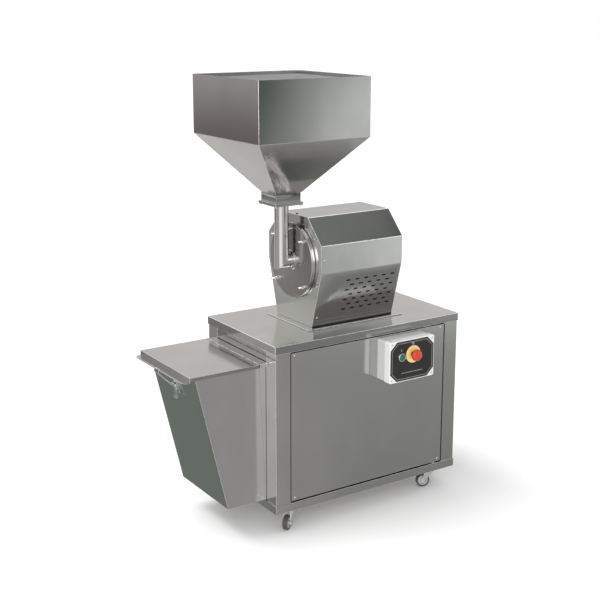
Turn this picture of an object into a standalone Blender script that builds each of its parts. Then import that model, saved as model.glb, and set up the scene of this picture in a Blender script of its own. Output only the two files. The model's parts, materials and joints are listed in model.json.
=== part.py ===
"""Hammer mill on a wheeled stainless cabinet, with a feed hopper and a pull-out bin.

Metres, +Z up. X runs along the motor shaft, with the bin at the -X end, and the
control box is on the -Y side. Sizes are given from the middle of the cabinet on
the floor; the empty "machine" then carries everything to the middle of the whole
object's outline.
"""

from math import cos, pi, radians, sin

import bmesh
import bpy
from mathutils import Matrix, Vector

# Clearances and sheet
GAP = 0.0003
SHEET = 0.0015
PLATE = 0.003
FAR = 0.02

# Cabinet
TOP_HALF = (0.380, 0.2225)
TOP_Z = 0.650
TOP_FOLD = 0.027
BODY_HALF = (0.377, 0.220)
TRAY_HALF = (0.379, 0.222)
TRAY_Z = (0.075, 0.104)
POST_LEG = (0.0574, 0.0595)
PANEL_Z = (0.108, 0.618)
PANEL_GAP = 0.0016
PANEL_INSET = 0.0005
PANEL_RETURN = 0.012
UPPER_PANEL_HALF = 0.200
UPPER_PANEL_DROP = 0.0136
CHUTE_FLANGE = 0.012
CHUTE_DROP = 0.010
RAIL_X = (-0.372, -0.030)
RAIL_Y = (0.118, 0.146)

# Bin
BIN_HALF = 0.1578
BIN_FLANGE_HALF = 0.1594
BIN_FLANGE_TOP = 0.023
BIN_FLOOR = 0.1075
BIN_BACK = -0.040
BIN_MOUTH_X = -0.378
BIN_INNER_TOP = 0.555
BIN_FOOT_X = -0.523
BIN_SLOPE = 0.2398
LID_Z = 0.5856
LID_HALF = 0.176
LID_FRONT = -0.661
LID_SIDE_FOLD = 0.012
LIP_Z = 0.569
LIP_TIP = -0.686
LIP_CORNER = 0.025
HINGE = Vector((-0.411, 0.0, 0.586))
HINGE_PIN_R = 0.0015
HINGE_PIN_HALF = 0.172
HINGE_SPACE = 0.0022

# Latch, on the bin's sloping front
LATCH_Z = 0.510
LATCH_HALF = 0.013
EAR = 0.0015
LATCH_PIVOT = (0.0, 0.008)
BAIL_PIVOT = (-0.010, 0.007)
LATCH_PIN_R = 0.0015
WIRE_R = 0.001
BAIL_OUT = 0.0032

# Castors
CASTOR_AT = (0.301, 0.180)
CASTOR_TRAIL = 0.024
CASTOR_TURN = {"front_left": 217, "front_right": 158, "back_left": 200, "back_right": 30}
WHEEL_R = 0.025
WHEEL_HALF = 0.009
AXLE_R = 0.003
CROWN_Z = 0.0627
CASTOR_PAD = 0.025
CASTOR_PLATE = 0.0025
RACE_R = 0.015
FORK_SHEET = 0.002
CROWN = 0.003
AXLE_EYE_R = 0.008

# Mill
MILL_Z = 0.868
FRONT_X = -0.1645
GUARD_BACK = 0.1714
GUARD_FOOT = 0.662
CASING_R = 0.121
SCREEN_R = 0.1177
CASING_BACK = -0.082
COVER_R = 0.130
COVER_DEPTH = 0.0142
BOSS_R = 0.034
BOSS_DEPTH = 0.005
KNOB_PIVOT = 0.010
KNOB_WING = 0.016
WING_HALF = 0.0015
KNOB_RADIUS = 0.114
PIPE_R = 0.02415
PIPE_WALL = 0.0015
PIPE_X = -0.2146
BASE_LOW = (-0.192, -0.1308)
BASE_HIGH = (0.2005, 0.1308)
OUTLET_X = (-0.155, -0.090)
OUTLET_HALF = 0.098
SLOT = (0.016, 0.005)
SLOT_ROWS = 7
SLOT_TOP = 0.8105
SLOT_STEP = 0.0178
SLOT_FIRST = -0.046
SLOT_PITCH = 0.037

# Rotor and motor
SHAFT_R = 0.012
DISC_R = 0.070
DISC_X = (-0.150, -0.094)
DISC_T = 0.004
FIRST_PIN = 45
PIN_RADIUS = 0.058
PIN_R = 0.004
HAMMER_OUT = 0.040
HAMMER_IN = 0.009
HAMMER_HALF = 0.012
MOTOR_R = 0.088
MOTOR_END = 0.108

# Hopper
HOPPER_X = -0.2167
HOPPER_HALF = 0.2096
HOPPER_Z = (1.0735, 1.1021, 1.2921, 1.4861)
NECK_HALF = 0.0475
HOPPER_WALL = 0.002
FLANGE_HALF = 0.054
FLANGE_Z = 1.063

# Control box
BOX_X = (0.026, 0.216)
BOX_Z = (0.470, 0.614)
BOX_FRONT = -0.290
BOX_SPLIT = -0.262
BOX_WALL = 0.003
START_AT = (0.075, 0.557)
START_R = 0.011
COLLAR_R = 0.030
COLLAR = 0.003
STEM_R = 0.0085
HEAD_R = 0.020
NECK = 0.013
STOP_AT = (0.124, 0.561)
STOP_FRONT = -0.323

# The middle of the whole outline, from the middle of the cabinet
MIDDLE_X = (LIP_TIP - BAIL_OUT - WIRE_R + TOP_HALF[0]) / 2
MIDDLE_Y = (STOP_FRONT + TOP_HALF[1]) / 2

AXES = {"x": (1, 2, 0), "y": (0, 2, 1), "z": (0, 1, 2)}


def clear_scene():
    for item in list(bpy.data.objects):
        bpy.data.objects.remove(item, do_unlink=True)


def finish(name, colour, roughness, metallic):
    made = bpy.data.materials.new(name)
    made.use_nodes = True
    shader = made.node_tree.nodes["Principled BSDF"]
    shader.inputs["Base Color"].default_value = (*colour, 1.0)
    shader.inputs["Roughness"].default_value = roughness
    shader.inputs["Metallic"].default_value = metallic
    return made


def pivot(name, place, holder=None, turn=0.0):
    """An empty on a joint's axis; place is in its holder's frame."""
    made = bpy.data.objects.new(name, None)
    made.empty_display_size = 0.03
    made.location = place
    made.rotation_euler = (0.0, 0.0, turn)
    made.parent = holder
    bpy.context.collection.objects.link(made)
    return made


def keep(name, shape, look, holder, rest=None):
    """Store a bmesh as an object. rest is where the holder lies in the mesh's own frame."""
    bmesh.ops.recalc_face_normals(shape, faces=shape.faces)
    mesh = bpy.data.meshes.new(name)
    shape.to_mesh(mesh)
    shape.free()
    mesh.materials.append(look)
    made = bpy.data.objects.new(name, mesh)
    made.parent = holder
    if rest is not None:
        made.matrix_parent_inverse = Matrix.Translation(-Vector(rest))
    bpy.context.collection.objects.link(made)
    return made


def hide(tool):
    tool.hide_render = True
    tool.display_type = "WIRE"


def combine(target, tool, operation):
    step = target.modifiers.new(operation.lower(), "BOOLEAN")
    step.operation = operation
    step.solver = "EXACT"
    step.object = tool
    hide(tool)


def cut(target, *tools):
    for tool in tools:
        combine(target, tool, "DIFFERENCE")


def weld(target, *tools):
    for tool in tools:
        combine(target, tool, "UNION")


def add_block(shape, low, high):
    size = Vector(high) - Vector(low)
    middle = (Vector(high) + Vector(low)) / 2
    place = Matrix.Translation(middle) @ Matrix.Diagonal((*size, 1.0))
    bmesh.ops.create_cube(shape, size=1.0, matrix=place)


def block(name, low, high, look, holder, rest=None):
    shape = bmesh.new()
    add_block(shape, low, high)
    return keep(name, shape, look, holder, rest)


def add_prism(shape, outline, axis, start, end):
    """Add an outline, drawn across an axis, run along that axis from start to end."""
    first, second, along = AXES[axis]
    ring = []
    for a, b in outline:
        point = [0.0, 0.0, 0.0]
        point[first], point[second], point[along] = a, b, start
        ring.append(shape.verts.new(point))
    face = shape.faces.new(ring)
    pushed = bmesh.ops.extrude_face_region(shape, geom=[face])["geom"]
    travel = Vector((0.0, 0.0, 0.0))
    travel[along] = end - start
    moved = [item for item in pushed if isinstance(item, bmesh.types.BMVert)]
    bmesh.ops.translate(shape, verts=moved, vec=travel)


def prism(name, outline, axis, start, end, look, holder, rest=None):
    shape = bmesh.new()
    add_prism(shape, outline, axis, start, end)
    return keep(name, shape, look, holder, rest)


def add_turned(shape, profile, axis, centre, steps):
    """Add a closed profile of (along, radius) points, spun about an axis through centre."""
    across, _, along = AXES[axis]
    ring = []
    for distance, radius in profile:
        point = list(centre)
        point[along] = distance
        point[across] += radius
        ring.append(shape.verts.new(point))
    edges = [shape.edges.new((ring[i], ring[i - 1])) for i in range(len(ring))
             if profile[i][1] > 0 or profile[i - 1][1] > 0]
    direction = Vector((0.0, 0.0, 0.0))
    direction[along] = 1.0
    bmesh.ops.spin(shape, geom=ring + edges, cent=centre, axis=direction, angle=2 * pi,
                   steps=steps, use_merge=True)
    bmesh.ops.remove_doubles(shape, verts=shape.verts, dist=1e-6)


def turned(name, profile, axis, centre, look, holder, rest=None, steps=32):
    shape = bmesh.new()
    add_turned(shape, profile, axis, centre, steps)
    return keep(name, shape, look, holder, rest)


def rod(radius, start, end):
    """The profile of a plain round bar."""
    return [(start, 0.0), (start, radius), (end, radius), (end, 0.0)]


def tube(inner, outer, start, end):
    """The profile of a plain ring or tube."""
    return [(start, inner), (start, outer), (end, outer), (end, inner)]


def pan(name, low, high, wall, open_to, look, holder, rest=None):
    """A folded pan of sheet: a block with a hollow that opens to one side, such as "-z"."""
    body = block(name, low, high, look, holder, rest)
    inner_low = Vector(low) + Vector((wall, wall, wall))
    inner_high = Vector(high) - Vector((wall, wall, wall))
    along = "xyz".index(open_to[1])
    if open_to[0] == "-":
        inner_low[along] = low[along] - FAR
    else:
        inner_high[along] = high[along] + FAR
    cut(body, block(name + "_hollow", inner_low, inner_high, look, holder, rest))
    return body


def loft(name, rings, look, holder):
    """A closed skin over rings of points; the last ring is joined to the first."""
    shape = bmesh.new()
    loops = [[shape.verts.new(point) for point in ring] for ring in rings]
    count = len(loops[0])
    for i, loop in enumerate(loops):
        previous = loops[i - 1]
        for j in range(count):
            shape.faces.new((previous[j - 1], previous[j], loop[j], loop[j - 1]))
    return keep(name, shape, look, holder)


def arc(centre, radius, start, end, steps):
    """Points on an arc, its angles in degrees."""
    points = []
    for i in range(steps + 1):
        angle = radians(start + (end - start) * i / steps)
        points.append((centre[0] + radius * cos(angle), centre[1] + radius * sin(angle)))
    return points


def inset(outline, distance):
    """A convex outline, each side moved inwards by distance."""
    area = sum(a[0] * b[1] - b[0] * a[1] for a, b in zip(outline, outline[1:] + outline[:1]))
    sign = 1 if area > 0 else -1
    lines = []
    for a, b in zip(outline, outline[1:] + outline[:1]):
        along = (Vector(b) - Vector(a)).normalized()
        inward = Vector((-along.y, along.x)) * sign
        lines.append((Vector(a) + inward * distance, along))
    points = []
    for i, (point, along) in enumerate(lines):
        before, direction = lines[i - 1]
        step = (point - before).cross(along) / direction.cross(along)
        points.append(tuple(before + direction * step))
    return points


def make_cabinet(looks, holder):
    sheet = looks["sheet"]
    tx, ty = TOP_HALF
    worktop = pan("worktop", (-tx, -ty, TOP_Z - TOP_FOLD), (tx, ty, TOP_Z), SHEET, "-z", sheet,
                  holder)
    cut(worktop, block("worktop_outlet", (OUTLET_X[0], -OUTLET_HALF, TOP_Z - FAR),
                       (OUTLET_X[1], OUTLET_HALF, TOP_Z + FAR), sheet, holder))
    bx, by = TRAY_HALF
    pan("base_tray", (-bx, -by, TRAY_Z[0]), (bx, by, TRAY_Z[1]), SHEET, "+z", sheet, holder)

    post_foot = TRAY_Z[0] + SHEET + GAP
    post_head = TOP_Z - SHEET - GAP
    px, py = BODY_HALF
    for side, sy in (("front", -1), ("back", 1)):
        for end, sx in (("left", -1), ("right", 1)):
            outline = [(px, py), (px - POST_LEG[0], py), (px - POST_LEG[0], py - SHEET),
                       (px - SHEET, py - SHEET), (px - SHEET, py - POST_LEG[1]),
                       (px, py - POST_LEG[1])]
            corner = [(sx * a, sy * b) for a, b in outline]
            prism(f"corner_post_{side}_{end}", corner, "z", post_foot, post_head, sheet, holder)

    half_x = px - POST_LEG[0] - PANEL_GAP
    half_y = py - POST_LEG[1] - PANEL_GAP
    face = py - PANEL_INSET
    low, high = PANEL_Z
    pan("front_panel", (-half_x, -face, low), (half_x, PANEL_RETURN - face, high), SHEET, "+y",
        sheet, holder)
    pan("back_panel", (-half_x, face - PANEL_RETURN, low), (half_x, face, high), SHEET, "-y",
        sheet, holder)
    face = px - PANEL_INSET
    pan("end_panel", (face - PANEL_RETURN, -half_y, low), (face, half_y, high), SHEET, "-x",
        sheet, holder)

    outer = -px + SHEET + GAP
    head = TOP_Z - SHEET - GAP
    foot = LID_Z - UPPER_PANEL_DROP
    fold = [(outer, foot), (outer + PANEL_RETURN, foot), (outer + PANEL_RETURN, foot + SHEET),
            (outer + SHEET, foot + SHEET), (outer + SHEET, head), (outer, head)]
    prism("upper_panel", fold, "y", -UPPER_PANEL_HALF, UPPER_PANEL_HALF, sheet, holder)

    # A duct under the worktop's outlet, hung from a flange all round
    wall = SHEET
    top = TOP_Z - SHEET - GAP
    foot = BIN_INNER_TOP + CHUTE_DROP
    x0, x1 = OUTLET_X
    chute = block("discharge_chute", (x0 - wall, -OUTLET_HALF - wall, foot),
                  (x1 + wall, OUTLET_HALF + wall, top), sheet, holder)
    flange = CHUTE_FLANGE
    weld(chute, block("chute_flange", (x0 - flange, -OUTLET_HALF - flange, top - wall),
                      (x1 + flange, OUTLET_HALF + flange, top), sheet, holder))
    cut(chute, block("chute_hollow", (x0, -OUTLET_HALF, foot - FAR),
                     (x1, OUTLET_HALF, top + FAR), sheet, holder))

    # Two folded rails that carry the bin
    for side, sy in (("front", -1), ("back", 1)):
        near, away = sorted((sy * RAIL_Y[0], sy * RAIL_Y[1]))
        pan(f"bin_rail_{side}", (RAIL_X[0], near, TRAY_Z[0] + SHEET + GAP),
            (RAIL_X[1], away, BIN_FLOOR - GAP), SHEET, "-z", sheet, holder)


def bin_front(height):
    """Where the bin's sloping front is, at a height."""
    return BIN_FOOT_X - BIN_SLOPE * (height - BIN_FLOOR)


def make_bin(looks, holder):
    sheet = looks["sheet"]
    lid_under = LID_Z - SHEET
    rim = lid_under - GAP
    side = [(BIN_FOOT_X, BIN_FLOOR), (BIN_BACK, BIN_FLOOR), (BIN_BACK, BIN_INNER_TOP),
            (BIN_MOUTH_X, BIN_INNER_TOP), (BIN_MOUTH_X, rim), (bin_front(rim), rim)]
    body = prism("bin", side, "y", -BIN_HALF, BIN_HALF, sheet, holder)
    flange = [(BIN_MOUTH_X, BIN_FLOOR), (BIN_MOUTH_X, rim), (BIN_MOUTH_X - BIN_FLANGE_TOP, rim)]
    weld(body, prism("bin_side_flange", flange, "y", -BIN_FLANGE_HALF, BIN_FLANGE_HALF, sheet,
                     holder))
    above = rim + FAR
    whole = [(BIN_FOOT_X, BIN_FLOOR), (BIN_BACK, BIN_FLOOR), (BIN_BACK, above + SHEET),
             (bin_front(above + SHEET), above + SHEET)]
    cut(body, prism("bin_hollow", inset(whole, SHEET), "y", -BIN_HALF + SHEET,
                    BIN_HALF - SHEET, sheet, holder))

    # The strip behind the hinge, folded down at its two ends
    fold = LID_Z - LID_SIDE_FOLD
    channel = [(-LID_HALF, fold), (-LID_HALF, LID_Z), (LID_HALF, LID_Z), (LID_HALF, fold),
               (LID_HALF - SHEET, fold), (LID_HALF - SHEET, lid_under),
               (-LID_HALF + SHEET, lid_under), (-LID_HALF + SHEET, fold)]
    prism("bin_top_strip", channel, "x", HINGE.x + HINGE_SPACE, BIN_MOUTH_X, sheet, holder)
    turned("lid_hinge_pin", rod(HINGE_PIN_R, -HINGE_PIN_HALF, HINGE_PIN_HALF), "y", HINGE,
           looks["pin"], holder, steps=12)


def make_lid(looks, holder):
    sheet = looks["sheet"]
    back = HINGE.x - HINGE_SPACE
    under = LID_Z - SHEET
    inner = LID_FRONT + SHEET
    section = [(back, LID_Z), (LID_FRONT, LID_Z), (LID_FRONT, LIP_Z + SHEET),
               (LIP_TIP, LIP_Z + SHEET), (LIP_TIP, LIP_Z), (inner, LIP_Z), (inner, under),
               (back, under)]
    lid = prism("bin_lid", section, "y", -LID_HALF, LID_HALF, sheet, holder, HINGE)
    fold = LID_Z - LID_SIDE_FOLD
    for number, sy in ((1, -1), (2, 1)):
        near, away = sorted((sy * LID_HALF, sy * (LID_HALF - SHEET)))
        weld(lid, block(f"lid_side_{number}", (LID_FRONT, near, fold), (back, away, LID_Z), sheet,
                        holder, HINGE))
        r = LIP_CORNER
        centre = (LIP_TIP + r, sy * (LID_HALF - r))
        outer = [(LIP_TIP - 0.001, sy * (LID_HALF + 0.001))]
        start = 180
        end = 90 if sy > 0 else 270
        rounding = outer + [(LIP_TIP - 0.001, centre[1])] + arc(centre, r, start, end, 6)
        rounding.append((centre[0], sy * (LID_HALF + 0.001)))
        cut(lid, prism(f"lip_corner_{number}", rounding, "z", LIP_Z - 0.001,
                       LIP_Z + SHEET + 0.0005, sheet, holder, HINGE))


def latch_point(up, out):
    """A point on the latch: up along the bin's sloping front, and out from it."""
    slope = Vector((-BIN_SLOPE, 0.0, 1.0)).normalized()
    normal = Vector((-slope.z, 0.0, slope.x))
    return Vector((bin_front(LATCH_Z), 0.0, LATCH_Z)) + slope * up + normal * out


def latch_outline(points):
    return [(latch_point(up, out).x, latch_point(up, out).z) for up, out in points]


def make_latch_base(looks, holder):
    steel = looks["bright"]
    plate = latch_outline([(-0.030, GAP), (0.016, GAP), (0.016, 0.0018), (-0.030, 0.0018)])
    base = prism("latch_base", plate, "y", -LATCH_HALF, LATCH_HALF, steel, holder)
    ear = latch_outline([(-0.006, GAP), (0.008, GAP), (0.007, 0.009), (0.004, 0.012),
                         (-0.003, 0.012), (-0.006, 0.009)])
    for number, sy in ((1, -1), (2, 1)):
        near, away = sorted((sy * LATCH_HALF, sy * (LATCH_HALF - EAR)))
        weld(base, prism(f"latch_ear_{number}", ear, "y", near, away, steel, holder))
    weld(base, turned("latch_pivot_pin", rod(LATCH_PIN_R, -LATCH_HALF, LATCH_HALF), "y",
                      latch_point(*LATCH_PIVOT), steel, holder, steps=12))


def make_latch_lever(looks, holder, rest):
    steel = looks["bright"]
    half = LATCH_HALF - EAR - 0.001
    outline = latch_outline([(0.004, 0.0045), (0.004, 0.0115), (-0.036, 0.0115),
                             (-0.043, 0.0160), (-0.044, 0.0148), (-0.037, 0.0100),
                             (-0.014, 0.0100), (-0.014, 0.0045)])
    lever = prism("latch_lever", outline, "y", -half, half, steel, holder, rest)
    for name, place, radius in (("lever_bore", LATCH_PIVOT, LATCH_PIN_R),
                                ("bail_bore", BAIL_PIVOT, WIRE_R)):
        cut(lever, turned(name, rod(radius + GAP, -FAR, FAR), "y", latch_point(*place), steel,
                          holder, rest, steps=12))


def make_latch_bail(looks, holder, rest):
    """A wire loop: its ends turn into the lever and its top hooks over the lid's lip."""
    start = latch_point(*BAIL_PIVOT)
    bend = 0.016
    reach = LATCH_HALF + 0.003
    outside = LIP_TIP - BAIL_OUT
    over = LIP_Z + SHEET + 0.0026
    route = [(start.x, 0.008, start.z), (start.x, reach - 0.001, start.z),
             (start.x - 0.0005, reach, start.z + 0.0015),
             (outside + 0.0010, bend, LIP_Z - 0.006), (outside, bend, LIP_Z - 0.001),
             (outside + 0.0004, bend, over - 0.001), (outside + 0.0025, bend, over),
             (outside + 0.0062, bend - 0.001, over), (outside + 0.0072, bend - 0.003, over)]
    points = route + [(x, -y, z) for x, y, z in reversed(route)]
    curve = bpy.data.curves.new("latch_bail", "CURVE")
    curve.dimensions = "3D"
    curve.bevel_depth = WIRE_R
    curve.bevel_resolution = 1
    curve.use_fill_caps = True
    line = curve.splines.new("POLY")
    line.points.add(len(points) - 1)
    for knot, point in zip(line.points, points):
        knot.co = (*point, 1.0)
    curve.materials.append(looks["bright"])
    bail = bpy.data.objects.new("latch_bail", curve)
    bail.parent = holder
    bail.matrix_parent_inverse = Matrix.Translation(-Vector(rest))
    bpy.context.collection.objects.link(bail)


def make_castor(name, sx, sy, looks, holder):
    zinc = looks["zinc"]
    x = sx * CASTOR_AT[0]
    y = sy * CASTOR_AT[1]
    head = TRAY_Z[0] - GAP
    crown_top = CROWN_Z + CROWN
    plate = block(f"castor_plate_{name}", (x - CASTOR_PAD, y - CASTOR_PAD, head - CASTOR_PLATE),
                  (x + CASTOR_PAD, y + CASTOR_PAD, head), zinc, holder)
    weld(plate, turned(f"castor_race_{name}", rod(RACE_R, crown_top + GAP, head - 0.001), "z",
                       (x, y, 0.0), zinc, holder, steps=24))

    # From here the frame is the castor's own: x along its trail, z from the fork's crown
    swivel = pivot(f"swivel_{name}", (x, y, CROWN_Z), holder, radians(CASTOR_TURN[name]))
    drop = WHEEL_R - CROWN_Z
    leg = WHEEL_HALF + 0.0015
    fork = block(f"castor_fork_{name}", (-0.015, -leg - FORK_SHEET, 0.0),
                 (0.016, leg + FORK_SHEET, CROWN), zinc, swivel)
    eye = arc((CASTOR_TRAIL, drop), AXLE_EYE_R, -20, -200, 8)
    outline = [(-0.015, CROWN), (-0.015, -0.004)] + eye[::-1] + [(0.016, CROWN)]
    for number, side in ((1, -1), (2, 1)):
        near, away = sorted((side * leg, side * (leg + FORK_SHEET)))
        weld(fork, prism(f"castor_leg_{name}_{number}", outline, "y", near, away, zinc, swivel))
    axle = leg + 0.0045
    weld(fork, turned(f"castor_axle_{name}", rod(AXLE_R, -axle, axle), "y",
                      (CASTOR_TRAIL, 0.0, drop), zinc, swivel, steps=12))

    hub = pivot(f"axle_{name}", (CASTOR_TRAIL, 0.0, drop), swivel)
    half = WHEEL_HALF
    section = [(-half, AXLE_R + 0.0004), (-half, 0.009), (-0.006, 0.011), (-0.006, 0.017),
               (-half, 0.019), (-half, 0.022), (-0.006, WHEEL_R), (0.006, WHEEL_R),
               (half, 0.022), (half, 0.019), (0.006, 0.017), (0.006, 0.011), (half, 0.009),
               (half, AXLE_R + 0.0004)]
    turned(f"castor_wheel_{name}", section, "y", (0.0, 0.0, 0.0), looks["tread"], hub, steps=28)


def casing_outline(foot):
    """The front plate's outline across the shaft, (y, z), down to foot."""
    waist, shoulder, crown = 0.848, 0.9407, 1.0243
    half = [(0.1088, 0.6567), (0.1624, waist), (0.1624, shoulder), (0.0817, crown)]
    slope = (half[1][0] - half[0][0]) / (half[1][1] - half[0][1])
    half[0] = (half[0][0] - slope * (half[0][1] - foot), foot)
    return half + [(-y, z) for y, z in reversed(half)]


def casing_section(radius, foot_half, foot):
    """The grinding casing across the shaft, (y, z): round above, drawn in below."""
    waist = 0.750
    half = [(foot_half, foot), (foot_half, TOP_Z + 0.010), (radius, waist)]
    return half + arc((0.0, MILL_Z), radius, 0, 180, 24) + [(-y, z) for y, z in reversed(half)]


def slots(shape, sy):
    """Cutters for the guard's air slots: seven rows of six and five, set between each other."""
    length, height = SLOT
    for row in range(SLOT_ROWS):
        shift = SLOT_PITCH / 2 if row % 2 else 0.0
        z = SLOT_TOP - row * SLOT_STEP
        for column in range(6 - row % 2):
            x = SLOT_FIRST + shift + column * SLOT_PITCH
            near, away = sorted((sy * 0.090, sy * 0.180))
            add_block(shape, (x - length / 2, near, z - height / 2),
                      (x + length / 2, away, z + height / 2))


def make_casing(looks, holder):
    sheet, plate = looks["sheet"], looks["plate"]
    base = block("mill_base_plate", (*BASE_LOW, TOP_Z + GAP), (*BASE_HIGH, TOP_Z + GAP + PLATE),
                 sheet, holder)
    cut(base, block("base_outlet", (OUTLET_X[0], -OUTLET_HALF, TOP_Z - FAR),
                    (OUTLET_X[1], OUTLET_HALF, TOP_Z + FAR), sheet, holder))
    floor = TOP_Z + PLATE + 2 * GAP
    centre = (0.0, 0.0, MILL_Z)

    back = FRONT_X + PLATE
    front = prism("mill_front_plate", casing_outline(floor), "x", FRONT_X, back, sheet, holder)
    cut(front, turned("front_plate_mouth", rod(CASING_R - PLATE, FRONT_X - FAR, FRONT_X + FAR),
                      "x", centre, sheet, holder, steps=48))

    inner_r = CASING_R - PLATE
    outer = casing_section(CASING_R, OUTLET_HALF + PLATE, floor)
    hollow = casing_section(inner_r, OUTLET_HALF, floor - FAR)
    casing = prism("chamber_casing", outer, "x", back + GAP, CASING_BACK, plate, holder)
    cut(casing, prism("chamber_hollow", hollow, "x", back - FAR, CASING_BACK - PLATE, plate,
                      holder),
        turned("shaft_hole", rod(SHAFT_R + 0.002, CASING_BACK - FAR, CASING_BACK + FAR), "x",
               centre, plate, holder, steps=24))

    # A half-round sieve under the rotor, its slots running along the shaft
    outside = arc((0.0, MILL_Z), SCREEN_R, 180, 360, 32)
    inside = arc((0.0, MILL_Z), SCREEN_R - SHEET, 360, 180, 32)
    screen = prism("sieve_screen", outside + inside, "x", back + 0.004, CASING_BACK - 0.007,
                   plate, holder)
    shape = bmesh.new()
    for number in range(13):
        angle = radians(195 + number * 12.5)
        turn = Matrix.Rotation(angle, 4, "X")
        place = Matrix.Translation((-0.125, 0.0, MILL_Z)) @ turn
        size = Matrix.Diagonal((0.050, 0.020, 0.004, 1.0))
        shift = Matrix.Translation((0.0, SCREEN_R, 0.0))
        bmesh.ops.create_cube(shape, size=1.0, matrix=place @ shift @ size)
    cut(screen, keep("sieve_slots", shape, plate, holder))

    # A shallow round cover with a boss for the feed pipe
    face = FRONT_X - GAP - COVER_DEPTH
    hole = PIPE_R + GAP
    boss = face - BOSS_DEPTH
    profile = [(boss, hole), (boss, BOSS_R), (face, BOSS_R), (face, COVER_R - 0.003),
               (face + 0.003, COVER_R), (FRONT_X - GAP, COVER_R), (FRONT_X - GAP, COVER_R - 0.010),
               (face + PLATE, COVER_R - 0.010), (face + PLATE, hole)]
    turned("chamber_cover", profile, "x", centre, sheet, holder, steps=56)
    return face


def make_knobs(looks, holder, face):
    steel = looks["bright"]
    for number, angle in enumerate((45, 135, 225, 315), start=1):
        y = KNOB_RADIUS * sin(radians(angle)) * 1.05
        z = MILL_Z + KNOB_RADIUS * cos(radians(angle)) * 0.97
        place = Vector((face - KNOB_PIVOT, y, z))
        turning = pivot(f"knob_axis_{number}", place, holder)
        start = face - GAP
        profile = [(start, 0.0), (start, 0.0065), (start - 0.004, 0.0065), (start - 0.006, 0.005),
                   (start - 0.016, 0.0045), (start - 0.016, 0.003), (start - 0.024, 0.003),
                   (start - 0.024, 0.0)]
        knob = turned(f"cover_knob_{number}", profile, "x", (0.0, y, z), steel, turning, place,
                      steps=16)
        wing = KNOB_WING
        outline = [(y - wing, start - 0.016), (y - wing * 0.8, start - 0.019),
                   (y, start - 0.011), (y + wing * 0.8, start - 0.019), (y + wing, start - 0.016),
                   (y + 0.004, start - 0.005), (y - 0.004, start - 0.005)]
        flat = [(x, across) for across, x in outline]
        weld(knob, prism(f"knob_wing_{number}", flat, "z", z - WING_HALF, z + WING_HALF, steel,
                         turning, place))


def make_feed(looks, holder):
    pipe, sheet = looks["pipe"], looks["sheet"]
    rings = []
    head = HOPPER_Z[0] - 2 * GAP
    tail = FRONT_X - 0.003
    for radius in (PIPE_R, PIPE_R - PIPE_WALL):
        angles = [2 * pi * i / 32 for i in range(32)]
        top = [(PIPE_X + radius * cos(a), radius * sin(a), head) for a in angles]
        mitre = [(PIPE_X + radius * cos(a), radius * sin(a), MILL_Z + radius * cos(a))
                 for a in angles]
        end = [(tail, radius * sin(a), MILL_Z + radius * cos(a)) for a in angles]
        bend = [top, mitre, end]
        rings += bend if not rings else bend[::-1]
    loft("feed_pipe", rings, pipe, holder)

    flange = block("pipe_flange", (HOPPER_X - FLANGE_HALF, -FLANGE_HALF, FLANGE_Z),
                   (HOPPER_X + FLANGE_HALF, FLANGE_HALF, HOPPER_Z[0] - GAP), sheet, holder)
    cut(flange, turned("flange_hole", rod(PIPE_R + GAP, FLANGE_Z - FAR, HOPPER_Z[0] + FAR), "z",
                       (PIPE_X, 0.0, 0.0), sheet, holder, steps=32))

    halves = (NECK_HALF, NECK_HALF, HOPPER_HALF, HOPPER_HALF)
    rings = []
    for wall in (0.0, HOPPER_WALL):
        levels = [(half - wall, z) for half, z in zip(halves, HOPPER_Z)]
        stack = [[(HOPPER_X + sx * half, sy * half, z)
                  for sx, sy in ((-1, -1), (1, -1), (1, 1), (-1, 1))] for half, z in levels]
        rings += stack if not rings else stack[::-1]
    loft("hopper", rings, sheet, holder)


def make_guard(looks, holder):
    sheet = looks["sheet"]
    start = FRONT_X + PLATE + GAP
    outline = inset(casing_outline(GUARD_FOOT), SHEET)
    outline = [(y, GUARD_FOOT if z < TOP_Z + 0.03 else z) for y, z in outline]
    guard = prism("motor_guard", outline, "x", start, GUARD_BACK, sheet, holder)
    hollow = inset(casing_outline(TOP_Z - FAR), 2 * SHEET)
    cut(guard, prism("guard_hollow", hollow, "x", start - FAR, GUARD_BACK - SHEET, sheet, holder))
    shape = bmesh.new()
    slots(shape, -1)
    slots(shape, 1)
    cut(guard, keep("guard_slots", shape, sheet, holder))


def make_motor(looks, holder):
    paint = looks["motor"]
    bore = SHAFT_R + GAP
    flange = CASING_BACK + GAP
    r = MOTOR_R
    profile = [(flange, bore), (flange, 0.100), (flange + 0.012, 0.100), (flange + 0.012, 0.078),
               (flange + 0.026, r), (MOTOR_END, r), (MOTOR_END, bore)]
    body = turned("motor_body", profile, "x", (0.0, 0.0, MILL_Z), paint, holder)
    weld(body, block("terminal_box", (-0.020, -0.045, MILL_Z + 0.070),
                     (0.070, 0.045, MILL_Z + 0.122), paint, holder))
    weld(body, block("motor_foot", (-0.030, -0.070, TOP_Z + PLATE + 2 * GAP),
                     (0.080, 0.070, MILL_Z - 0.060), paint, holder))
    start = MOTOR_END + GAP
    wall = SHEET
    shell = [(start, r - wall), (start, r), (0.148, r), (0.158, r - 0.010), (0.158, 0.020),
             (0.158 - wall, 0.020), (0.158 - wall, r - 0.0106), (0.1474, r - wall)]
    turned("motor_fan_cover", shell, "x", (0.0, 0.0, MILL_Z), paint, holder)


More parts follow.
